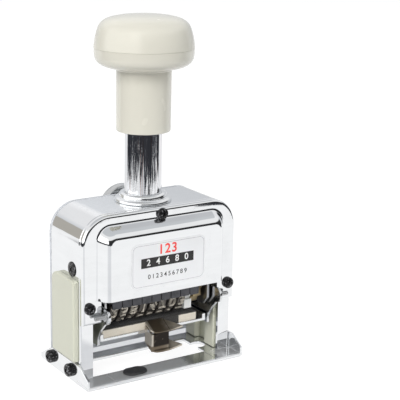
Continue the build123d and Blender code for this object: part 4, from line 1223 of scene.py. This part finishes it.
# ------------------------------------------------------------ stage
CAMERA_AT = Vector((-219.77, -361.32, 175.13))
CAMERA_TO = Vector((0.0, 0.7, 66.0))
CAMERA_ROLL = math.radians(0.54)
CAMERA_SHIFT = (0.14375, -0.0211)


def room_light(world):
    """White for the camera; a quiet studio for reflections; a plain level for everything else."""
    world.use_nodes = True
    world.node_tree.nodes.clear()
    work = Wire(world.node_tree)
    camera, glossy, through = work.rays()
    direction = work.node("ShaderNodeTexCoord")
    across, depth, up = direction.axes()
    # beside and behind the machine: grey low down and overhead, white between, with one warm corner
    wall = up.node("ShaderNodeValToRGB", {"stops": [
        (0.0, (0.66, 0.67, 0.69)), (0.30, (0.70, 0.72, 0.75)), (0.42, (0.93, 0.93, 0.94)),
        (0.74, (0.93, 0.93, 0.94)), (0.84, (0.60, 0.61, 0.63)), (1.0, (0.60, 0.61, 0.63))]}, {0: up})
    ragged = up.node("ShaderNodeTexNoise", {}, {"Vector": direction, "Scale": 9.0, "Detail": 4.0})
    corner = across.ramp(-0.22, -0.30) * depth.ramp(0.3, 0.5) * (up + ragged * 0.10).ramp(0.37, 0.34)
    wall = corner.blend(wall, (0.50, 0.475, 0.43))
    # in front of it: dark up to a line, then white, and grey overhead, with one bright window
    facing = up.node("ShaderNodeValToRGB", {"stops": [
        (0.0, (0.03, 0.03, 0.03)), (0.37, (0.04, 0.04, 0.04)), (0.43, (0.95, 0.95, 0.96)),
        (0.52, (1.0, 1.0, 1.0)), (0.77, (1.0, 1.0, 1.0)), (0.80, (0.66, 0.68, 0.70)),
        (0.90, (0.66, 0.68, 0.70))]}, {0: up})
    wall = depth.ramp(0.1, -0.15).blend(wall, facing)
    window = across.ramp(-0.55, -0.66) * depth.ramp(0.75, 0.62) * up.ramp(0.62, 0.5)
    wall = window.blend(wall, (1.8, 1.8, 1.78))
    seen = work.node("ShaderNodeBackground", {}, {"Color": (1, 1, 1), "Strength": 1.0})
    mirrored = work.node("ShaderNodeBackground", {}, {"Color": wall, "Strength": 1.0})
    level = work.node("ShaderNodeBackground", {}, {"Color": (0.96, 0.98, 1.0), "Strength": 0.42})
    light = work.node("ShaderNodeMixShader", {}, {0: glossy, 1: level, 2: mirrored})
    direct = work.math("MAXIMUM", camera, through)
    light = work.node("ShaderNodeMixShader", {}, {0: direct, 1: light, 2: seen})
    work.node("ShaderNodeOutputWorld", {}, {"Surface": light})


def floor_surface():
    """A white sheet that keeps the object's shadow; metal also sees the dark room past its edge."""
    m = Finish("white_floor")
    edge, blur, tear, widening = 243.0, 6.0, 70.0, 48.0
    x, y, _ = m.place.axes()
    reach = (x * x + y * y) ** 0.5
    rag = m.grain(0.02, 4.0, 0.6).ramp(0.48, 0.60)
    ahead = (x * CAMERA_AT.x + y * CAMERA_AT.y) / (reach * math.hypot(CAMERA_AT.x, CAMERA_AT.y))
    depth = m.math("MAXIMUM", y * -1.0, reach - widening)
    past = (depth - rag * tear).ramp(edge, edge + blur) * ahead.ramp(-0.42, -0.32)
    bearing = x / reach
    beside = bearing.ramp(-0.18, -0.30) * bearing.ramp(-0.85, -0.70) * y.ramp(0.0, -30.0)
    camera, glossy, through = m.rays()
    seen = m.math("MAXIMUM", m.math("MAXIMUM", camera, glossy), through)
    tone = m.grain(0.02, 3.0).blend((0.62,) * 3, (0.66,) * 3)
    soft = m.node("ShaderNodeBsdfDiffuse", {}, {"Color": tone})
    dark = past * glossy
    thin = m.node("ShaderNodeBsdfDiffuse", {}, {"Color": dark.blend((0.20,) * 3, (0.01,) * 3)})
    mirrored = (beside * glossy * 0.7).blend((1, 1, 1), (0.60, 0.61, 0.64))
    mirrored = dark.blend(mirrored, (0.035, 0.037, 0.045))
    glow = m.node("ShaderNodeEmission", {}, {"Color": mirrored, "Strength": 0.90})
    white = m.node("ShaderNodeAddShader", {}, {0: thin, 1: glow})
    both = m.node("ShaderNodeMixShader", {}, {0: seen, 1: soft, 2: white})
    m.node("ShaderNodeOutputMaterial", {}, {"Surface": both})
    return m.material


def add_lamp(name, kind, position, power, aim=(0, 0, 0.06), **form):
    """A lamp that lights the machine but isn't mirrored in it; positions are metres."""
    data = bpy.data.lights.new(name, kind)
    data.energy = power
    for setting, value in form.items():
        setattr(data, setting, value)
    lamp = linked(name, data)
    lamp.location = position
    lamp.rotation_euler = (Vector(aim) - lamp.location).to_track_quat("-Z", "Y").to_euler()
    lamp.visible_glossy = False


def build_stage(settings):
    """The room, the floor, three broad lamps, a narrow one for the mouth, and the camera."""
    scene = bpy.context.scene
    scene.view_settings.view_transform = "Standard"
    world = bpy.data.worlds.new("studio")
    scene.world = world
    room_light(world)

    bm = bmesh.new()
    bmesh.ops.create_grid(bm, x_segments=1, y_segments=1, size=3.0)
    mesh = bpy.data.meshes.new("floor")
    bm.to_mesh(mesh)
    bm.free()
    mesh.materials.append(floor_surface())
    floor = linked("floor", mesh)
    floor.location.z = -0.0002

    level = settings.lamp
    add_lamp("key_lamp", "AREA", (-0.80, -0.60, 0.80), 9.5 * level, size=0.6, color=(1.0, 0.99, 0.97))
    add_lamp("fill_lamp", "AREA", (0.8, -0.45, 0.6), 2.0 * level, size=0.8, color=(0.96, 0.98, 1.0))
    add_lamp("back_lamp", "AREA", (0.1, 0.9, 0.9), 4.0 * level, size=0.8)
    add_lamp("mouth_lamp", "SPOT", (-0.22, -0.75, 0.16), 14.0 * level, (0, -0.012, 0.019),
             spot_size=math.radians(7.5), spot_blend=1.0, shadow_soft_size=0.06)

    data = bpy.data.cameras.new("camera")
    data.lens, data.sensor_width = settings.lens, 36.0
    data.shift_x, data.shift_y = CAMERA_SHIFT
    data.clip_start = 0.01
    camera = linked("camera", data)
    forward = (CAMERA_TO - CAMERA_AT).normalized()
    right = forward.cross(Vector((0, 0, 1))).normalized()
    up = right.cross(forward)
    turned = right * math.cos(CAMERA_ROLL) + up * math.sin(CAMERA_ROLL)
    upright = up * math.cos(CAMERA_ROLL) - right * math.sin(CAMERA_ROLL)
    axes = Matrix((turned, upright, -forward)).transposed().to_4x4()
    camera.matrix_world = Matrix.Translation(CAMERA_AT * MM) @ axes
    scene.camera = camera


# ------------------------------------------------------------ operators
def piece_operator(label, words, build, *groups):
    """One operator class for a piece or a group of like pieces, named after its build function."""
    suffix = build.__name__.removeprefix("build_")

    def execute(self, context):
        build(*(getattr(context.scene.numbering_machine, group) for group in groups))
        return {"FINISHED"}

    return type("MACHINE_OT_" + suffix, (bpy.types.Operator,), {
        "__doc__": words, "bl_idname": "machine." + suffix, "bl_label": label, "execute": execute})


OPERATORS = [
    piece_operator("Surface Finishes", "Make every material of the machine", build_finishes,
                   "knob", "case", "wheels"),
    piece_operator("Base", "Fold the base sheet and mould its sight pad", build_base),
    piece_operator("Case Band", "Bend the arched band of the case", build_band),
    piece_operator("Front Cover", "Press the front cover with its panel", build_front_cover),
    piece_operator("Rear Cover", "Cut the flat back plate", build_rear_cover),
    piece_operator("Slide Guides", "Mould the two slide guides", build_guides),
    piece_operator("Guide Tube", "Turn the guide tube and its collar", build_tube),
    piece_operator("Press Knob", "Turn the knob's body and cap", build_knob, "knob"),
    piece_operator("Label", "Lay the plain-number label", build_label, "label"),
    piece_operator("Screws", "Set all the cross-recess screws", build_screws, "case"),
    piece_operator("Number Wheels", "Make the wheels with their raised figures", build_wheels, "wheels"),
    piece_operator("Detents", "Set the row of detent leaves", build_detents),
    piece_operator("Carriage", "Finish the carriage and the feed", build_carriage),
    piece_operator("Ink Frame", "Finish the swinging arms", build_ink_frame),
    piece_operator("Ink Tray", "Finish the tray and lay its felt", build_tray),
    piece_operator("Finger Clip", "Finish the finger clip", build_clip),
    piece_operator("Springs", "Wind the two springs", build_springs),
    piece_operator("Dial and Lock", "Finish the dial and the lock button", build_rear),
    piece_operator("Stage", "Set the floor, the light and the camera", build_stage, "stage"),
]


class MACHINE_PT_sidebar(bpy.types.Panel):
    """Lists the machine's operators and settings"""
    bl_idname = "MACHINE_PT_sidebar"
    bl_label = "Numbering Machine"
    bl_space_type = "VIEW_3D"
    bl_region_type = "UI"
    bl_category = "Numbering Machine"

    def draw(self, context):
        settings = context.scene.numbering_machine
        for group in (settings.knob, settings.case, settings.wheels, settings.label, settings.stage):
            box = self.layout.box()
            for name in group.__annotations__:
                box.prop(group, name)
        for operator in OPERATORS:
            self.layout.operator(operator.bl_idname)


CLASSES = [KnobSettings, CaseSettings, WheelSettings, LabelSettings, StageSettings, MachineSettings,
           *OPERATORS, MACHINE_PT_sidebar]


def register():
    for item in CLASSES:
        bpy.utils.register_class(item)
    bpy.types.Scene.numbering_machine = PointerProperty(type=MachineSettings)


def unregister():
    del bpy.types.Scene.numbering_machine
    for item in reversed(CLASSES):
        bpy.utils.unregister_class(item)


def main():
    register()
    for operator in OPERATORS:
        getattr(bpy.ops.machine, operator.bl_idname.split(".")[1])()
    bpy.context.view_layer.update()


if __name__ == "__main__":
    main()
